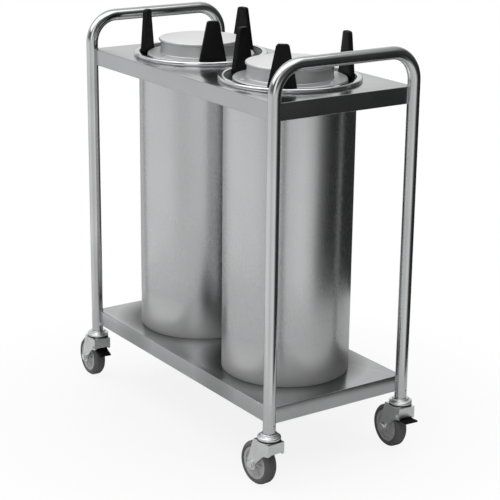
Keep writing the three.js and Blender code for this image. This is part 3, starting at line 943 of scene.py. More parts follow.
@dataclass
class EndFrame:
    """One bent tube: two posts and the push rail, with its welds and stem rivets."""

    side: str
    radius: float = 14.3
    wall: float = 1.6
    bend: float = 66.0
    sides: int = 40
    bend_steps: int = 14
    weld: float = 1.5
    weld_wobble: float = 0.25
    stem_rivet_height: float = 18.0

    def build(self) -> None:
        """Models and dresses the tube, its deck welds and its rivets."""
        node = f"{self.side}_end_frame"
        low, high = (Vector(corner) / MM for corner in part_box(node))
        self.x, self.foot = (low.x + high.x) / 2, low.z
        self.posts = (low.y + self.radius, high.y - self.radius)
        tube = self.tube(f"{node}_tube", high.z - self.radius - self.bend)
        finish_piece(tube, BRIGHT, "frame", [node], angle=40)
        self.welds()
        self.rivets()

    def tube(self, name: str, crown: float) -> Piece:
        """Sweeps a ring up one post, over the rail and down the other.

        Args:
            name: Its name.
            crown: The height at which its bends start.

        Returns:
            The tube, open at both ends.
        """
        near, far = self.posts
        rise = (crown - self.foot) * MM
        obj = circle(name, self.radius, self.sides, shift(self.x, near, self.foot))
        with editing(obj):
            extrude((0, 0, rise))
            self.elbow(near + self.bend, crown)
            extrude((0, (far - near - 2 * self.bend) * MM, 0))
            self.elbow(far - self.bend, crown)
            extrude((0, 0, -rise))
            tidy_normals()
        apply_modifier(obj, "SOLIDIFY", thickness=self.wall * MM, offset=-1.0)
        return obj

    def elbow(self, y: float, z: float) -> None:
        """In edit mode, spins the tube's open end through a quarter turn.

        Args:
            y: The place of the bend's centre across the cart.
            z: Its height.
        """
        spin(self.bend_steps, QUARTER, (self.x * MM, y * MM, z * MM), (1, 0, 0))

    def welds(self) -> None:
        """Lays a bead where each deck's notch meets the posts."""
        beads = []
        inward = 1 if self.side == "left" else -1
        for deck in ("top_deck", "base_deck"):
            low, high = heights(deck)
            for y, toward in zip(self.posts, (1, -1)):
                start = math.atan2(0.0, inward) if inward * toward > 0 else toward * QUARTER
                beads += [self.bead(y, height, start) for height in (high, low)]
        finish_piece(joined(f"{self.side}_deck_welds", beads), WELD, "frame", angle=60)

    def bead(self, y: float, height: float, start: float) -> Piece:
        """A quarter ring of weld round a post.

        Args:
            y: The post's place across the cart.
            height: The height of the bead.
            start: The bearing it starts at, in radians.

        Returns:
            The bead.
        """
        spot = Matrix.Rotation(start, 4, "Z") @ shift(self.radius) @ UPRIGHT
        obj = circle("bead", self.weld, 8, spot, filled=True)
        with editing(obj):
            spin(16, -QUARTER, (0, 0, 0), (0, 0, 1))
            tidy_normals()
            bpy.ops.transform.vertex_random(offset=self.weld_wobble * MM, seed=3)
        return place(obj, shift(self.x, y, height))

    def rivets(self) -> None:
        """Puts the heads of the cross pins that hold the caster stems on the posts."""
        heads = []
        height = self.foot + self.stem_rivet_height
        for y in self.posts:
            for way in (1, -1):
                spot = shift(self.x + way * (self.radius - 0.5), y, height)
                turn = Matrix.Rotation(way * QUARTER, 4, "Y")
                heads.append(place(dome("head", 4.2, 2.2), spot @ turn))
        finish_piece(joined(f"{self.side}_stem_rivets", heads), ZINC, "frame")


# ---------------------------------------------------------------- decks


@dataclass
class Deck:
    """A pan with rounded folds, an inward lip and notched corners."""

    node: str
    holes: Sequence[Vector] = ()
    sheet: float = 1.5
    lip: float = 14.0
    fold: float = 1.8
    post_radius: float = 14.6
    hole_radius: float = 150.8
    notch_steps: int = 8

    def build(self) -> None:
        """Models and dresses the pan."""
        low, high = (Vector(corner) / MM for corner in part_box(self.node))
        obj = plate(f"{self.node}_pan", self.outline(low, high), high.z - low.z)
        place(obj, shift(z=low.z))
        self.open_underside(obj, (low.z + 1) * MM)
        thickness = self.sheet * MM
        apply_modifier(obj, "SOLIDIFY", thickness=thickness, offset=-1.0, use_even_offset=True)
        cutters = []
        for hole in self.holes:
            spot = shift(hole.x / MM, hole.y / MM, high.z - 100)
            cutters.append(place(rod("cutter", self.hole_radius, 200, 128), spot))
        combine(obj, "DIFFERENCE", cutters)
        finish_piece(obj, DECK if self.holes else PAN, "frame", [self.node], angle=28)

    def outline(self, low: Vector, high: Vector) -> list[Point]:
        """The deck's outline, notched round the four posts.

        Args:
            low: The deck's lowest corner.
            high: Its highest corner.

        Returns:
            The outline, anticlockwise.
        """
        points: list[Point] = []
        posts = ((low.x, low.y), (high.x, low.y), (high.x, high.y), (low.x, high.y))
        for quarter, (x, y) in enumerate(posts):
            for step in range(self.notch_steps + 1):
                turn = QUARTER * (quarter + 1 - step / self.notch_steps)
                reach = Vector((math.cos(turn), math.sin(turn))) * self.post_radius
                points.append((x + reach.x, y + reach.y))
        return points

    def open_underside(self, obj: Piece, near: float) -> None:
        """Rounds the folds and opens the plate's underside, leaving a lip.

        Args:
            obj: The plate.
            near: A height just above its underside, in metres.
        """
        faces = obj.data.polygons
        with editing(obj):
            bpy.ops.mesh.select_all(action="DESELECT")
            bpy.ops.mesh.select_mode(type="FACE")
            bpy.ops.object.mode_set(mode="OBJECT")
            for face in faces:
                face.select = abs(face.normal.z) > 0.9
            bpy.ops.object.mode_set(mode="EDIT")
            bpy.ops.mesh.region_to_loop()
            fold = self.fold * MM
            bpy.ops.mesh.bevel(offset=fold, segments=4, affect="EDGES", clamp_overlap=False)
            bpy.ops.mesh.select_all(action="DESELECT")
            bpy.ops.mesh.select_mode(type="FACE")
            bpy.ops.object.mode_set(mode="OBJECT")
            underside = [face for face in faces if face.normal.z < -0.99 and face.center.z < near]
            max(underside, key=lambda face: face.area).select = True
            bpy.ops.object.mode_set(mode="EDIT")
            bpy.ops.mesh.inset(thickness=self.lip * MM, depth=0.0)
            bpy.ops.mesh.delete(type="FACE")
            bpy.ops.mesh.select_mode(type="VERT")


@dataclass
class Stiffener:
    """The channel under the base deck, with rounded folds."""

    node: str = "base_stiffener"
    flange: float = 16.0
    sheet: float = 1.5

    def build(self) -> None:
        """Models and dresses the channel."""
        low, high = (Vector(corner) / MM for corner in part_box(self.node))
        edge, depth, sheet = (high.y - low.y) / 2, high.z - low.z, self.sheet
        web = edge - self.flange
        outer = web + sheet
        rows = [
            (-edge, 0), (-edge, -sheet), (-outer, -sheet, 0.8), (-outer, -depth, 2.4),
            (outer, -depth, 2.4), (outer, -sheet, 0.8), (edge, -sheet), (edge, 0),
            (web, 0, 2.0), (web, sheet - depth, 1.0), (-web, sheet - depth, 1.0), (-web, 0, 2.0),
        ]
        obj = plate(f"{self.node}_channel", rows, high.x - low.x)
        place(obj, shift(low.x, (low.y + high.y) / 2, high.z) @ CROSSWISE)
        finish_piece(obj, DECK, "frame", [self.node])


# ---------------------------------------------------------------- dispensers


@dataclass
class Dispenser:
    """One tube with its rim, guides, hanger, springs, carrier and down stop."""

    side: str
    tube_radius: float = 150.5
    tube_wall: float = 1.2
    foot_flange: float = 13.0
    guide_width: float = 68.0
    guide_top: float = 27.0
    guide_height: float = 102.0
    guide_depth: float = 12.0
    tongue_half_width: float = 15.0
    tongue_depth: float = 28.0
    carrier_radius: float = 130.0
    carrier_sheet: float = 1.5
    skirt: float = 15.0
    platform_radius: float = 102.0
    platform_height: float = 35.0
    neck_radius: float = 98.0
    bead: float = 8.0
    rod_circle: float = 114.0
    rod_radius: float = 5.0
    arm_depth: float = 5.0
    hub_radius: float = 32.0
    spring_wire: float = 0.85
    spring_radius: float = 5.5
    hook: float = 9.0
    sides: int = 160

    def build(self) -> None:
        """Models and dresses every piece of the dispenser."""
        self.centre = centre_of(f"{self.side}_tube_shell")
        self.shell()
        self.rim()
        self.guides()
        self.hanger()
        self.carrier()
        self.springs()
        self.stop()

    @property
    def spring_nodes(self) -> list[str]:
        """The names of the three springs."""
        return [f"{self.side}_carrier_spring_{index}" for index in (1, 2, 3)]

    def at(self, z: float = 0.0) -> Matrix:
        """A place on the tube's axis.

        Args:
            z: Its height.

        Returns:
            The place.
        """
        return Matrix.Translation((self.centre.x, self.centre.y, z * MM))

    def toward(self, node: str) -> Matrix:
        """A turn that brings +X round to a solid, seen from the tube's axis.

        Args:
            node: The solid's name.

        Returns:
            The turn.
        """
        away = centre_of(node) - self.centre
        return Matrix.Rotation(math.atan2(away.y, away.x), 4, "Z")

    def turned(self, name: str, rows: Sequence[Row], sides: int, closed: bool = True) -> Piece:
        """A round piece on the tube's axis.

        Args:
            name: Its name.
            rows: The corners of its section.
            sides: Steps in a full turn.
            closed: Whether the section closes on itself.

        Returns:
            The piece.
        """
        return place(revolve(name, rows, sides, closed), self.at())

    def shell(self) -> None:
        """The rolled tube with its foot flange and the seam weld at its back."""
        node = f"{self.side}_tube_shell"
        foot, top = heights(node)
        outer, bore = self.tube_radius, self.tube_radius - self.tube_wall
        lip, floor = bore - self.foot_flange, foot + self.tube_wall
        rows = [
            (lip, foot), (outer, foot, 0.5, 2), (outer, top),
            (bore, top), (bore, floor, 1.3), (lip, floor),
        ]
        obj = revolve(f"{node}_rolled", rows, self.sides)
        inside = obj.data.attributes.new("inside", "FLOAT", "POINT")
        wall = (outer - self.tube_wall / 2) * MM
        reach = [float(vertex.co.xy.length < wall) for vertex in obj.data.vertices]
        inside.data.foreach_set("value", reach)
        finish_piece(place(obj, self.at()), SATIN, "frame", [node])
        rows = [(-1.6, -0.6), (1.6, -0.6), (0.9, 0.3, 0.4), (-0.9, 0.3, 0.4)]
        seam = plate(f"{self.side}_tube_seam", rows, top - 26 - (foot + 4))
        place(seam, self.at(foot + 4) @ shift(y=outer))
        finish_piece(seam, WELD, "frame")

    def rim(self) -> None:
        """The rolled rim that laps over the tube and rests on the deck."""
        node = f"{self.side}_tube_rim"
        low, high = heights(node)
        outer, tube = self.tube_radius + 12.5, self.tube_radius + 0.3
        bore, lap = self.tube_radius - self.tube_wall, high - 2.7
        rows = [
            (tube, low), (outer - 1.0, low, 0.8, 3), (outer, low + (high - low) * 0.3, 1.6, 3),
            (outer, high, 4.6, 7), (bore, high, 1.4, 4), (bore, lap), (tube, lap),
        ]
        finish_piece(self.turned(f"{node}_rolled", rows, self.sides), RIM, "frame", [node])

    def guides(self) -> None:
        """Three tapered fins, each on a bracket with two screws."""
        pattern, screws = self.guide_pattern()
        for index in (1, 2, 3):
            node = f"{self.side}_plate_guide_{index}"
            spot = self.at(heights("top_deck")[1]) @ self.toward(node)
            finish_piece(copied(pattern, f"{node}_fin", spot), BLACK, "frame", [node])
            finish_piece(copied(screws, f"{node}_screws", spot), ZINC, "frame")
        for scratch in (pattern, screws):
            bpy.data.objects.remove(scratch)

    def guide_pattern(self) -> tuple[Piece, Piece]:
        """One guide and its screws on the +X side of the axis, with the deck at nought.

        Returns:
            The fin and the screws.
        """
        base, top, height = self.guide_width / 2, self.guide_top / 2, self.guide_height
        tongue, depth = self.tongue_half_width, self.tongue_depth
        rows = [
            (-tongue, -depth, 3), (tongue, -depth, 3), (tongue, 0, 1.5), (base, 0, 2),
            (top, height, 7, 7), (-top, height, 7, 7), (-base, 0, 2), (-tongue, 0, 1.5),
        ]
        face = self.guide_face(base)
        inner = face - self.guide_depth
        fin = place(plate("guide", rows, self.guide_depth), shift(inner) @ CROSSWISE)
        soften(fin, 1.6, segments=4, angle=50)
        rows = [(-10, -23, 2), (10, -23, 2), (10, -5, 2), (-10, -5, 2)]
        boss = plate("boss", rows, self.guide_face(10.0) - face + 4)
        place(boss, shift(face - 4) @ CROSSWISE)
        turn = Matrix.Rotation(-QUARTER, 4, "Y")
        heads = [
            place(dome("screw", 3.4, 1.8), shift(inner + 0.2, z=z) @ turn) for z in (-19, -9)
        ]
        return joined("guide", [fin, boss]), joined("screws", heads)

    def guide_face(self, half_width: float) -> float:
        """How far out a flat piece of this half width reaches in the tube.

        Args:
            half_width: Half its width.

        Returns:
            Its distance from the axis.
        """
        clear = (self.tube_radius - self.tube_wall) * math.cos(math.pi / 40) - 0.3
        return math.sqrt(clear**2 - half_width**2)

    def hanger(self) -> None:
        """The ring inside the mouth, with its three lugs."""
        node = f"{self.side}_spring_hanger"
        low, high = heights(node)
        outer = self.tube_radius - self.tube_wall - 0.3
        inner = outer - 2.5
        rows = [(inner, low), (outer, low), (outer, high), (inner, high)]
        parts = [self.turned("ring", [(*row, 0.6, 3) for row in rows], 96)]
        for spring in self.spring_nodes:
            lug = plate("lug", [(133, -7, 3), (147.5, -7), (147.5, 7), (133, 7, 3)], 3)
            soften(lug, 0.5, segments=2)
            parts.append(place(lug, self.at(low) @ self.toward(spring)))
        finish_piece(joined(f"{node}_ring", parts), SATIN, "frame", [node])

    def carrier(self) -> None:
        """The spun hat that plates stand on, and the cage that slides in the tube."""
        body = f"{self.side}_carrier"
        top = heights(f"{body}_disc")[1]
        face, sheet, bead = top - self.platform_height, self.carrier_sheet, top - self.bead
        radius, edge, neck = self.carrier_radius, self.platform_radius, self.neck_radius
        rows = [
            (0, top - sheet), (edge - sheet, top - sheet, 2.4),
            (edge - sheet, bead + sheet, 1.6, 4), (neck - sheet, bead - sheet, 2.0, 4),
            (neck - sheet, face - sheet, 4.0), (radius - sheet, face - sheet, 3.0),
            (radius - sheet, face - self.skirt), (radius, face - self.skirt, 0.6, 3),
            (radius, face, 4.5, 6), (neck, face, 2.5), (neck, bead, 2.4),
            (edge, top - self.bead * 0.62, 1.8, 4), (edge, top, 3.4, 7), (0, top),
        ]
        disc = self.turned(f"{body}_disc_spun", rows, 128, closed=False)
        finish_piece(disc, DISC, body, [f"{body}_disc"])
        self.cage(body, face)

    def cage(self, body: str, face: float) -> None:
        """The rods, spider and guide ring under the hat, and the rivets in its flange.

        Args:
            body: The carrier's body.
            face: The height of the flange's face.
        """
        low, high = heights(f"{body}_cage")
        parts = [place(rod("hub", self.hub_radius, self.arm_depth, 48, 1), self.at(low))]
        rivets = []
        for spring in self.spring_nodes:
            spot = self.at() @ self.toward(spring)
            rows = [(10, -12), (142, -12, 2), (142, 12, 2), (10, 12)]
            arm = plate("arm", rows, self.arm_depth)
            soften(arm, 0.8, segments=2)
            parts.append(place(arm, spot @ shift(z=low)))
            bar = rod("bar", self.rod_radius, high - low, 24, 0.8)
            parts.append(place(bar, spot @ shift(self.rod_circle, z=low)))
            rivet = shift(self.rod_circle, z=face - 0.1)
            rivets.append(place(dome("head", 5.5, 1.9), spot @ rivet))
        finish_piece(joined(f"{body}_cage_welded", parts), ZINC, body, [f"{body}_cage"])
        finish_piece(joined(f"{body}_rivets", rivets), DISC, body)
        node = f"{body}_guide_ring"
        low, high = heights(node)
        rows = [(143, low, 1, 3), (148.8, low, 2.2, 4), (148.8, high, 2.2, 4), (143, high, 1, 3)]
        finish_piece(self.turned(f"{node}_hoop", rows, 128), NYLON, body, [node])

    def springs(self) -> None:
        """Three close-wound springs at their solids' lengths; on the cart they stretch as the
        carrier sinks.
        """
        for node in self.spring_nodes:
            middle = centre_of(node)
            low, high = heights(node)
            spring = self.coil(f"{node}_coil", low, high)
            place(spring, Matrix.Translation((middle.x, middle.y, 0)) @ self.toward(node))
            finish_piece(spring, WIRE, None, [node], angle=60)
            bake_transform(spring)

    def coil(self, name: str, low: float, high: float) -> Piece:
        """A close-wound coil with a hook eye at each end.

        Args:
            name: The spring's name.
            low: The height of its foot.
            high: The height of its top.

        Returns:
            The spring, on the Z axis.
        """
        wire = self.spring_wire
        pitch = wire * 2.16
        turns = int((high - low - 2 * self.hook) / pitch)
        body = circle("coil", wire, 6, shift(self.spring_radius - wire) @ UPRIGHT)
        apply_modifier(
            body,
            "SCREW",
            axis="Z",
            angle=2 * math.pi,
            steps=12,
            render_steps=12,
            screw_offset=pitch * MM,
            iterations=turns,
            use_normal_calculate=True,
        )
        slack = (high - low - turns * pitch) / 2
        parts = [place(body, shift(z=low + slack))]
        for z, way in ((low + slack, -1), (high - slack, 1)):
            parts.append(self.eye(z, way, slack - wire))
        spring = joined(name, parts)
        with editing(spring):
            bpy.ops.mesh.select_all(action="DESELECT")
            bpy.ops.mesh.select_non_manifold()
            bpy.ops.mesh.fill_holes(sides=0)
            bpy.ops.mesh.select_all(action="SELECT")
            bpy.ops.mesh.normals_make_consistent(inside=False)
        return spring

    def eye(self, z: float, way: int, reach: float) -> Piece:
        """The open ring of wire at a spring's end.

        Args:
            z: The height of the coil's end.
            way: 1 at the top and -1 at the foot.
            reach: How far the eye stands out.

        Returns:
            The eye.
        """
        half, wire = reach / 2, self.spring_wire
        obj = circle("eye", wire, 6, shift(half - wire / 2))
        with editing(obj):
            spin(18, math.radians(330), (0, 0, 0), (0, 1, 0))
            tidy_normals()
        return place(obj, shift(z=z + way * (half + wire / 2)))

    def stop(self) -> None:
        """The rubber ring that the carrier's spider lands on."""
        node = f"{self.side}_down_stop"
        low, high = heights(node)
        rows = [
            (40, low, 1.5, 3), (60, low, 1.5, 3), (60, low + 14, 3, 3), (57.5, low + 18, 3, 3),
            (60, low + 22, 3, 3), (60, high, 5), (40, high, 5),
        ]
        finish_piece(self.turned(f"{node}_ring", rows, 64), RUBBER, "frame", [node])


# ---------------------------------------------------------------- casters


@dataclass
class CasterPattern:
    """One caster in its own frame: +X is the way it trails, Z its swivel axis."""

    trail: float = 36.0
    wheel_radius: float = 51.0
    wheel_width: float = 31.0
    tyre_depth: float = 13.0
    hub_web: float = 20.0
    fork_gap: float = 38.0
    fork_sheet: float = 3.0
    crown_top: float = 117.0
    top: float = 135.0
    pivot: tuple[float, float] = (-17.0, 95.0)
    pieces: dict[str, Piece] = field(default_factory=dict)

    def build(self) -> None:
        """Models the pieces that every caster has a copy of."""
        self.pieces = {
            "stem": self.stem(),
            "seal": self.seal(),
            "fork": self.fork(),
            "axle": self.bolt("axle", 6.0, 17.0, self.axle),
            "hub": self.hub(),
            "tyre": self.tyre(),
            "lever": self.lever(),
            "pin": self.bolt("pin", 3.0, 9.0, shift(self.pivot[0], z=self.pivot[1])),
        }

    def discard(self) -> None:
        """Removes the patterns once every caster has its copies."""
        for piece in self.pieces.values():
            bpy.data.objects.remove(piece)

    @property
    def half_width(self) -> float:
        """Half the fork's width over its legs."""
        return self.fork_gap / 2 + self.fork_sheet

    @property
    def axle(self) -> Matrix:
        """The middle of the axle."""
        return shift(self.trail, z=self.wheel_radius)

    def stem(self) -> Piece:
        """The cup, collar and plug on the kingpin.

        Returns:
            The turned piece.
        """
        foot, neck, cup = self.crown_top - 7.8, self.crown_top - 3.8, self.crown_top + 5.3
        shoulder, crest = self.top - 0.3, self.top + 45
        rows = [
            (0, foot), (9, foot, 1.5, 3), (9, neck, 0.5, 2), (6, neck), (6, cup),
            (27, cup, 0.8, 3), (27, cup + 5.5, 3.5), (19, cup + 8, 1.5, 3),
            (19, shoulder, 2.0, 4), (12.4, shoulder), (12.4, crest, 2, 3), (0, crest),
        ]
        return revolve("stem", rows, 56, closed=False)

    def seal(self) -> Piece:
        """A black ring that closes the gap of the swivel bearing, and paints the shade of that
        gap.

        Returns:
            The ring.
        """
        low, high = self.crown_top + 1.2, self.crown_top + 1.2 + 3.7
        rows = [(25.4, low), (26.9, low), (26.9, high), (25.4, high)]
        return revolve("seal", [(*row, 0.5, 2) for row in rows], 56)

    def fork(self) -> Piece:
        """The stamped fork: a crown with its race, a closed front and two swept legs.

        Returns:
            The fork.
        """
        front, crown, width, sheet = -27.0, self.crown_top, self.half_width, self.fork_sheet
        foot, back, ahead = self.wheel_radius - 13, self.trail + 13, self.trail - 13
        rows = [
            (front, crown, 1.5, 3), (front, 88.0, 4), (-8, 86.0, 30, 6),
            (self.trail - 15, self.wheel_radius + 6, 10), (ahead, foot, 11, 7),
            (back, foot, 11, 7), (back, self.wheel_radius + 8, 26, 6), (29.0, crown, 3, 3),
        ]
        legs = [
            place(plate("leg", rows, sheet), shift(y=y) @ UPRIGHT)
            for y in (width, sheet - width)
        ]
        rows = [(front, -width), (27, -width), (27, width), (front, width)]
        top = plate("crown", [(*row, 3, 4) for row in rows], 3.5)
        place(top, shift(z=crown - 3.5))
        edge, arch = crown - 27, crown - 24.4
        rows = [
            (-width, edge), (4 - width, edge, 2, 3), (7 - width, arch, 4, 4),
            (width - 7, arch, 4, 4), (width - 4, edge, 2, 3), (width, edge),
            (width, crown, 3, 4), (-width, crown, 3, 4),
        ]
        web = place(plate("web", rows, sheet), shift(front) @ CROSSWISE)
        low, high = crown - 1, crown + 5
        rows = [(7, low), (25.5, low), (25.5, high, 1.8, 4), (7, high, 1, 3)]
        race = revolve("race", rows, 56)
        fork = legs[0]
        combine(fork, "UNION", [legs[1], top, web, race])
        with editing(fork):
            bpy.ops.mesh.remove_doubles(threshold=0.05 * MM)
        return fork

    def bolt(self, name: str, radius: float, across: float, spot: Matrix) -> Piece:
        """A cross bolt with a hexagonal head, a nut and two washers.

        Args:
            name: Its name.
            radius: The shank's radius, which is also the height of a head with its washer.
            across: The head's width across flats.
            spot: Where its middle goes.

        Returns:
            The bolt.
        """
        half = self.half_width + 0.3
        head, washer = radius * 0.72, radius * 0.24
        over = Matrix.Rotation(math.pi, 4, "X")
        parts = [
            place(rod("shank", radius, 2 * half, 24), shift(z=-half)),
            place(hexagon("head", across, head), shift(z=half + washer)),
            place(hexagon("nut", across, head), shift(z=-half - washer) @ over),
        ]
        for z in (half, -half - washer):
            parts.append(place(rod("washer", across * 0.56, washer, 32, 0.3), shift(z=z)))
        return place(joined(name, parts), spot @ UPRIGHT)

    def hub(self) -> Piece:
        """The moulded hub with a thick web, low ribs on each face and a bearing boss.

        Returns:
            The hub.
        """
        boss, rim, web = self.fork_gap / 2 - 0.3, self.wheel_width / 2 - 2, self.hub_web / 2
        outer = self.wheel_radius - self.tyre_depth - 0.3
        rows = [
            (6.3, -boss), (11.5, -boss, 1, 3), (14, -web, 2.5, 4), (30, -web, 1.4, 4),
            (31.5, -rim, 0.8, 3), (outer, -rim), (outer, rim), (31.5, rim, 0.8, 3),
            (30, web, 1.4, 4), (14, web, 2.5, 4), (11.5, boss, 1, 3), (6.3, boss),
        ]
        parts = [revolve("hub", rows, 64)]
        crest = web + 1.6
        rows = [(12, -crest, 1, 2), (31, -crest, 1, 2), (31, crest, 1, 2), (12, crest, 1, 2)]
        for index in range(6):
            rib = plate("rib", rows, 3)
            soften(rib, 0.5, segments=2)
            turn = Matrix.Rotation(math.pi / 3 * index, 4, "Z")
            parts.append(place(rib, turn @ (UPRIGHT @ shift(z=-1.5))))
        return place(joined("hub", parts), self.axle @ UPRIGHT)

    def tyre(self) -> Piece:
        """The tyre, with a rounded tread and a parting line round its middle.

        Returns:
            The tyre.
        """
        radius, half = self.wheel_radius, self.wheel_width / 2
        inner = radius - self.tyre_depth
        rows = [
            (inner, -half + 1.5, 0.8, 3), (inner + 4, -half, 3, 4), (radius - 6, -half, 4),
            (radius, -half + 7, 7, 6), (radius, -0.4), (radius - 0.3, 0.0), (radius, 0.4),
            (radius, half - 7, 7, 6), (radius - 6, half, 4), (inner + 4, half, 3, 4),
            (inner, half - 1.5, 0.8, 3),
        ]
        return place(revolve("tyre", rows, 96), self.axle @ UPRIGHT)

    def lever(self) -> Piece:
        """The brake lever: a boss on its pin, a pad at the tread and a ribbed pedal.

        Returns:
            The lever, off, at its pivot.
        """
        tip, top, low, boss = -33.0, -6.0, -10.0, 5.5
        pad = math.radians(-70)
        pad_x, pad_z = 13.7 * math.cos(pad), 13.7 * math.sin(pad)
        rows = [
            (pad_x - 4, pad_z - 4, 3.8), (pad_x + 4, pad_z - 4, 3.8), (boss, -3, 5),
            (boss, boss, 5.2, 6), (-boss, boss, 5.2, 6), (-boss, top, 4),
            (tip * 0.5, top - 0.2, 12), (tip * 0.8, top + 1, 6, 4), (tip, top + 1, 2, 4),
            (tip, low + 1, 2, 4), (tip * 0.75, low, 8, 4), (pad_x - 5, low, 4, 4),
        ]
        parts = [place(plate("blade", rows, 32), shift(z=-16))]
        for index in range(4):
            x = tip + 2.5 + 4 * index
            crest = top + 1.7 - 0.3 * max(0, index - 1)
            foot = crest - 2.4
            rows = [(x, foot), (x + 1.8, foot), (x + 1.8, crest, 0.7, 3), (x, crest, 0.7, 3)]
            parts.append(place(plate("rib", rows, 26), shift(z=-13)))
        for part in parts:
            soften(part, 0.6, segments=2, angle=50)
        return place(joined("lever", parts), UPRIGHT)


@dataclass
class Caster:
    """One caster of the cart, set from the pattern by where the frame has it."""

    name: str
    braked: bool = False
    brake_turn: float = 0.0

    def build(self, pattern: CasterPattern) -> None:
        """Copies the pattern's pieces into place and dresses them.

        Args:
            pattern: The caster's pattern.
        """
        axis = centre_of(f"{self.name}_caster_stem")
        trail = centre_of(f"{self.name}_tyre") - axis
        turn = Matrix.Rotation(math.atan2(trail.y, trail.x), 4, "Z")
        spot = Matrix.Translation((axis.x, axis.y, 0)) @ turn
        fork, wheel = f"{self.name}_fork", f"{self.name}_wheel"
        plan: list[tuple[str, Finish, str, list[str]]] = [
            ("stem", ZINC, "frame", [f"{self.name}_caster_stem"]),
            ("seal", SEAL_AND_GAP_SHADE, fork, []),
            ("fork", ZINC, fork, [f"{self.name}_caster_fork"]),
            ("axle", ZINC, fork, [f"{self.name}_axle"]),
            ("hub", HUB, wheel, [f"{self.name}_wheel_hub"]),
            ("tyre", TYRE, wheel, [f"{self.name}_tyre"]),
        ]
        if self.braked:
            plan.append(("pin", ZINC, fork, [f"{self.name}_brake_pin"]))
        for part, finish, body, nodes in plan:
            piece = copied(pattern.pieces[part], f"{self.name}_{part}_piece", spot)
            finish_piece(piece, finish, body, nodes)
        if self.braked:
            pivot = shift(pattern.pivot[0], z=pattern.pivot[1])
            swing = spot @ pivot @ Matrix.Rotation(-math.radians(self.brake_turn), 4, "Y")
            lever = copied(pattern.pieces["lever"], f"{self.name}_lever_piece", swing)
            finish_piece(lever, BLACK, f"{self.name}_brake", [f"{self.name}_brake_lever"])


# ---------------------------------------------------------------- studio


@dataclass(frozen=True)
class SoftBox:
    """A large soft light that looks at a point of the cart."""

    name: str
    spot: Triple
    size: tuple[float, float]
    power: float
    aim: Triple = (0.0, 0.0, 0.5)

    def build(self) -> None:
        """Adds the light."""
        light = bpy.data.lights.new(self.name, "AREA")
        light.shape = "RECTANGLE"
        light.size, light.size_y = self.size
        light.energy = self.power
        obj = bpy.data.objects.new(self.name, light)
        bpy.context.scene.collection.objects.link(obj)
        away = Vector(self.spot) - Vector(self.aim)
        obj.location = self.spot
        obj.rotation_euler = away.to_track_quat("Z", "Y").to_euler()


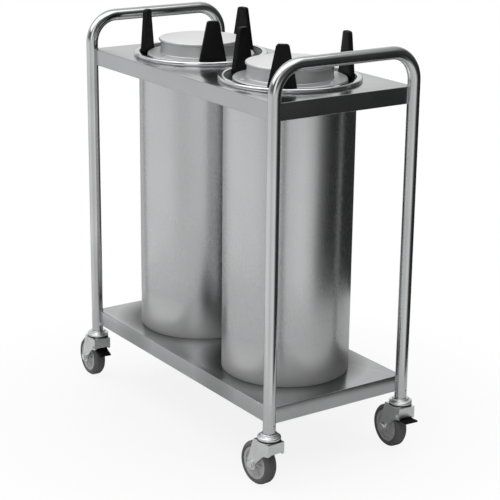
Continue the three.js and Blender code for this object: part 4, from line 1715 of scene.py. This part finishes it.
@dataclass
class Studio:
    """Floor, surroundings, lights and camera."""

    floor_radius: float = 950.0
    sweep: Tones = (
        (-180, 0.68), (-144, 0.88), (-100, 0.88), (-66, 0.68), (-36, 0.77), (-8, 0.88),
        (7, 0.70), (24, 0.13), (40, 0.03), (132, 0.03), (150, 0.23), (167, 0.50), (180, 0.68),
    )
    room: Tones = (
        (-180, 0.80), (-150, 0.70), (-134, 0.42), (-120, 0.18), (-64, 0.16), (-57, 1.40),
        (-39, 1.40), (-32, 0.15), (30, 0.05), (98, 0.08), (120, 0.60), (145, 0.92), (180, 0.80),
    )
    ceiling: float = 0.6
    wall_band: Point = (-0.06, 0.12)
    ceiling_band: Point = (0.45, 0.85)
    floor_tone: float = 0.74
    floor_fade: Row = (0.3, 0.85, 0.86, 1.0)
    camera_spot: Triple = (2.95111, -1.99079, 1.52603)
    camera_yaw: float = 55.538
    camera_pitch: float = 17.272
    camera_roll: float = 0.646
    focal_pixels: float = 1528.749
    frame_pixels: float = 500.0
    sensor: float = 36.0

    def build(self) -> None:
        """Sets up the whole studio."""
        self.floor()
        self.surroundings()
        for box in (
            SoftBox("key_softbox", (-1.0, -2.2, 3.2), (3.0, 2.4), 37.0),
            SoftBox("top_softbox", (0.3, -0.2, 3.4), (3.6, 2.6), 37.0),
        ):
            box.build()
        self.camera()
        bpy.context.scene.view_settings.view_transform = "Standard"

    def floor(self) -> None:
        """A pale floor that fades to white at its edge."""
        floor = circle("studio_floor", self.floor_radius, 96, Matrix.Identity(4), filled=True)
        material = bpy.data.materials.new("studio_floor_paint")
        material.use_nodes = True
        kit = NodeKit(material.node_tree)
        paint = material.node_tree.nodes["Principled BSDF"]
        tone = grey(self.floor_tone)
        kit.feed(paint, {"Base Color": tone, "Roughness": 0.7, "Specular IOR Level": 0.1})
        glow = kit.add("ShaderNodeEmission", {"Strength": 1.0})
        coords = kit.add("ShaderNodeTexCoord").outputs["Object"]
        away = kit.add("ShaderNodeVectorMath", {0: coords}, operation="LENGTH").outputs["Value"]
        seen = kit.math("MULTIPLY", kit.ramp(away, *self.floor_fade), self.camera_ray(kit))
        blend = kit.add("ShaderNodeMixShader", {0: seen, 1: paint.outputs[0], 2: glow.outputs[0]})
        kit.feed(material.node_tree.nodes["Material Output"], {"Surface": blend.outputs[0]})
        floor.data.materials.append(material)

    def surroundings(self) -> None:
        """White behind the cart, and a studio with one dark side in its reflections."""
        world = bpy.data.worlds.new("studio_world")
        bpy.context.scene.world = world
        world.use_nodes = True
        kit = NodeKit(world.node_tree)
        world.node_tree.nodes.clear()
        way = kit.parts(kit.add("ShaderNodeTexCoord").outputs["Generated"])
        bearing = kit.math("ARCTAN2", way["Y"], way["X"])
        turn = kit.ramp(bearing, -math.pi, math.pi, 0.0, 1.0)
        sweep, room = self.tones(kit, turn, self.sweep), self.tones(kit, turn, self.room)
        walls = kit.mix(kit.ramp(way["Z"], *self.wall_band, 0.0, 1.0), sweep, room)
        above = kit.ramp(way["Z"], *self.ceiling_band, 0.0, 1.0)
        whole = kit.mix(above, walls, grey(self.ceiling))
        studio = kit.add("ShaderNodeBackground", {"Color": whole}).outputs[0]
        white = kit.add("ShaderNodeBackground", {"Color": grey(1.0)}).outputs[0]
        blend = kit.add("ShaderNodeMixShader", {0: self.camera_ray(kit), 1: studio, 2: white})
        kit.add("ShaderNodeOutputWorld", {"Surface": blend.outputs[0]})

    @staticmethod
    def camera_ray(kit: NodeKit) -> Socket:
        """Tells what the camera sees from what is reflected.

        Args:
            kit: The nodes to add to.

        Returns:
            One where the camera sees it.
        """
        return kit.add("ShaderNodeLightPath").outputs["Is Camera Ray"]

    @staticmethod
    def tones(kit: NodeKit, turn: Socket, stops: Tones) -> Socket:
        """A ring of greys round the cart.

        Args:
            kit: The world's nodes.
            turn: The bearing, from nought to one for a full turn.
            stops: Bearings in degrees from +X, and their greys.

        Returns:
            The grey at each bearing.
        """
        around = kit.add("ShaderNodeValToRGB", {"Fac": turn})
        ramp = around.color_ramp
        ramp.interpolation = "EASE"
        for degrees, tone in stops[1:-1]:
            ramp.elements.new(degrees / 360 + 0.5).color = grey(tone)
        for end in (0, -1):
            ramp.elements[end].color = grey(stops[end][1])
        return around.outputs["Color"]

    def camera(self) -> None:
        """The camera of the photograph, with no shift."""
        data = bpy.data.cameras.new("photo_camera")
        data.sensor_width = self.sensor
        data.lens = self.focal_pixels / self.frame_pixels * self.sensor
        obj = bpy.data.objects.new("photo_camera", data)
        bpy.context.scene.collection.objects.link(obj)
        turn = (
            Matrix.Rotation(math.radians(self.camera_yaw), 4, "Z")
            @ Matrix.Rotation(math.radians(90 - self.camera_pitch), 4, "X")
            @ Matrix.Rotation(math.radians(self.camera_roll), 4, "Z")
        )
        obj.matrix_world = Matrix.Translation(self.camera_spot) @ turn
        bpy.context.scene.camera = obj


# ---------------------------------------------------------------- assembly


def corners(bounds: Sequence[Sequence[float]]) -> list[list[float]]:
    """A box as plain lists.

    Args:
        bounds: Its lowest and highest corner.

    Returns:
        The two corners as lists of numbers.
    """
    return [[float(value) for value in corner] for corner in bounds]


def main() -> None:
    """Builds every sub-assembly, the studio and the camera."""
    logging.basicConfig(level=logging.INFO, format="%(name)s: %(message)s")
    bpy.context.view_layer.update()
    for side in SIDES:
        EndFrame(side).build()
    LOG.info("end frames done")
    holes = [centre_of(f"{side}_tube_shell") for side in SIDES]
    Deck("top_deck", holes=holes).build()
    Deck("base_deck").build()
    Stiffener().build()
    LOG.info("decks done")
    for side in SIDES:
        Dispenser(side).build()
    LOG.info("dispensers done")
    pattern = CasterPattern()
    pattern.build()
    for caster in (
        Caster("front_left", braked=True, brake_turn=25.0),
        Caster("front_right"),
        Caster("rear_left"),
        Caster("rear_right", braked=True),
    ):
        caster.build(pattern)
    pattern.discard()
    LOG.info("casters done")
    Studio().build()


if __name__ == "__main__":
    main()
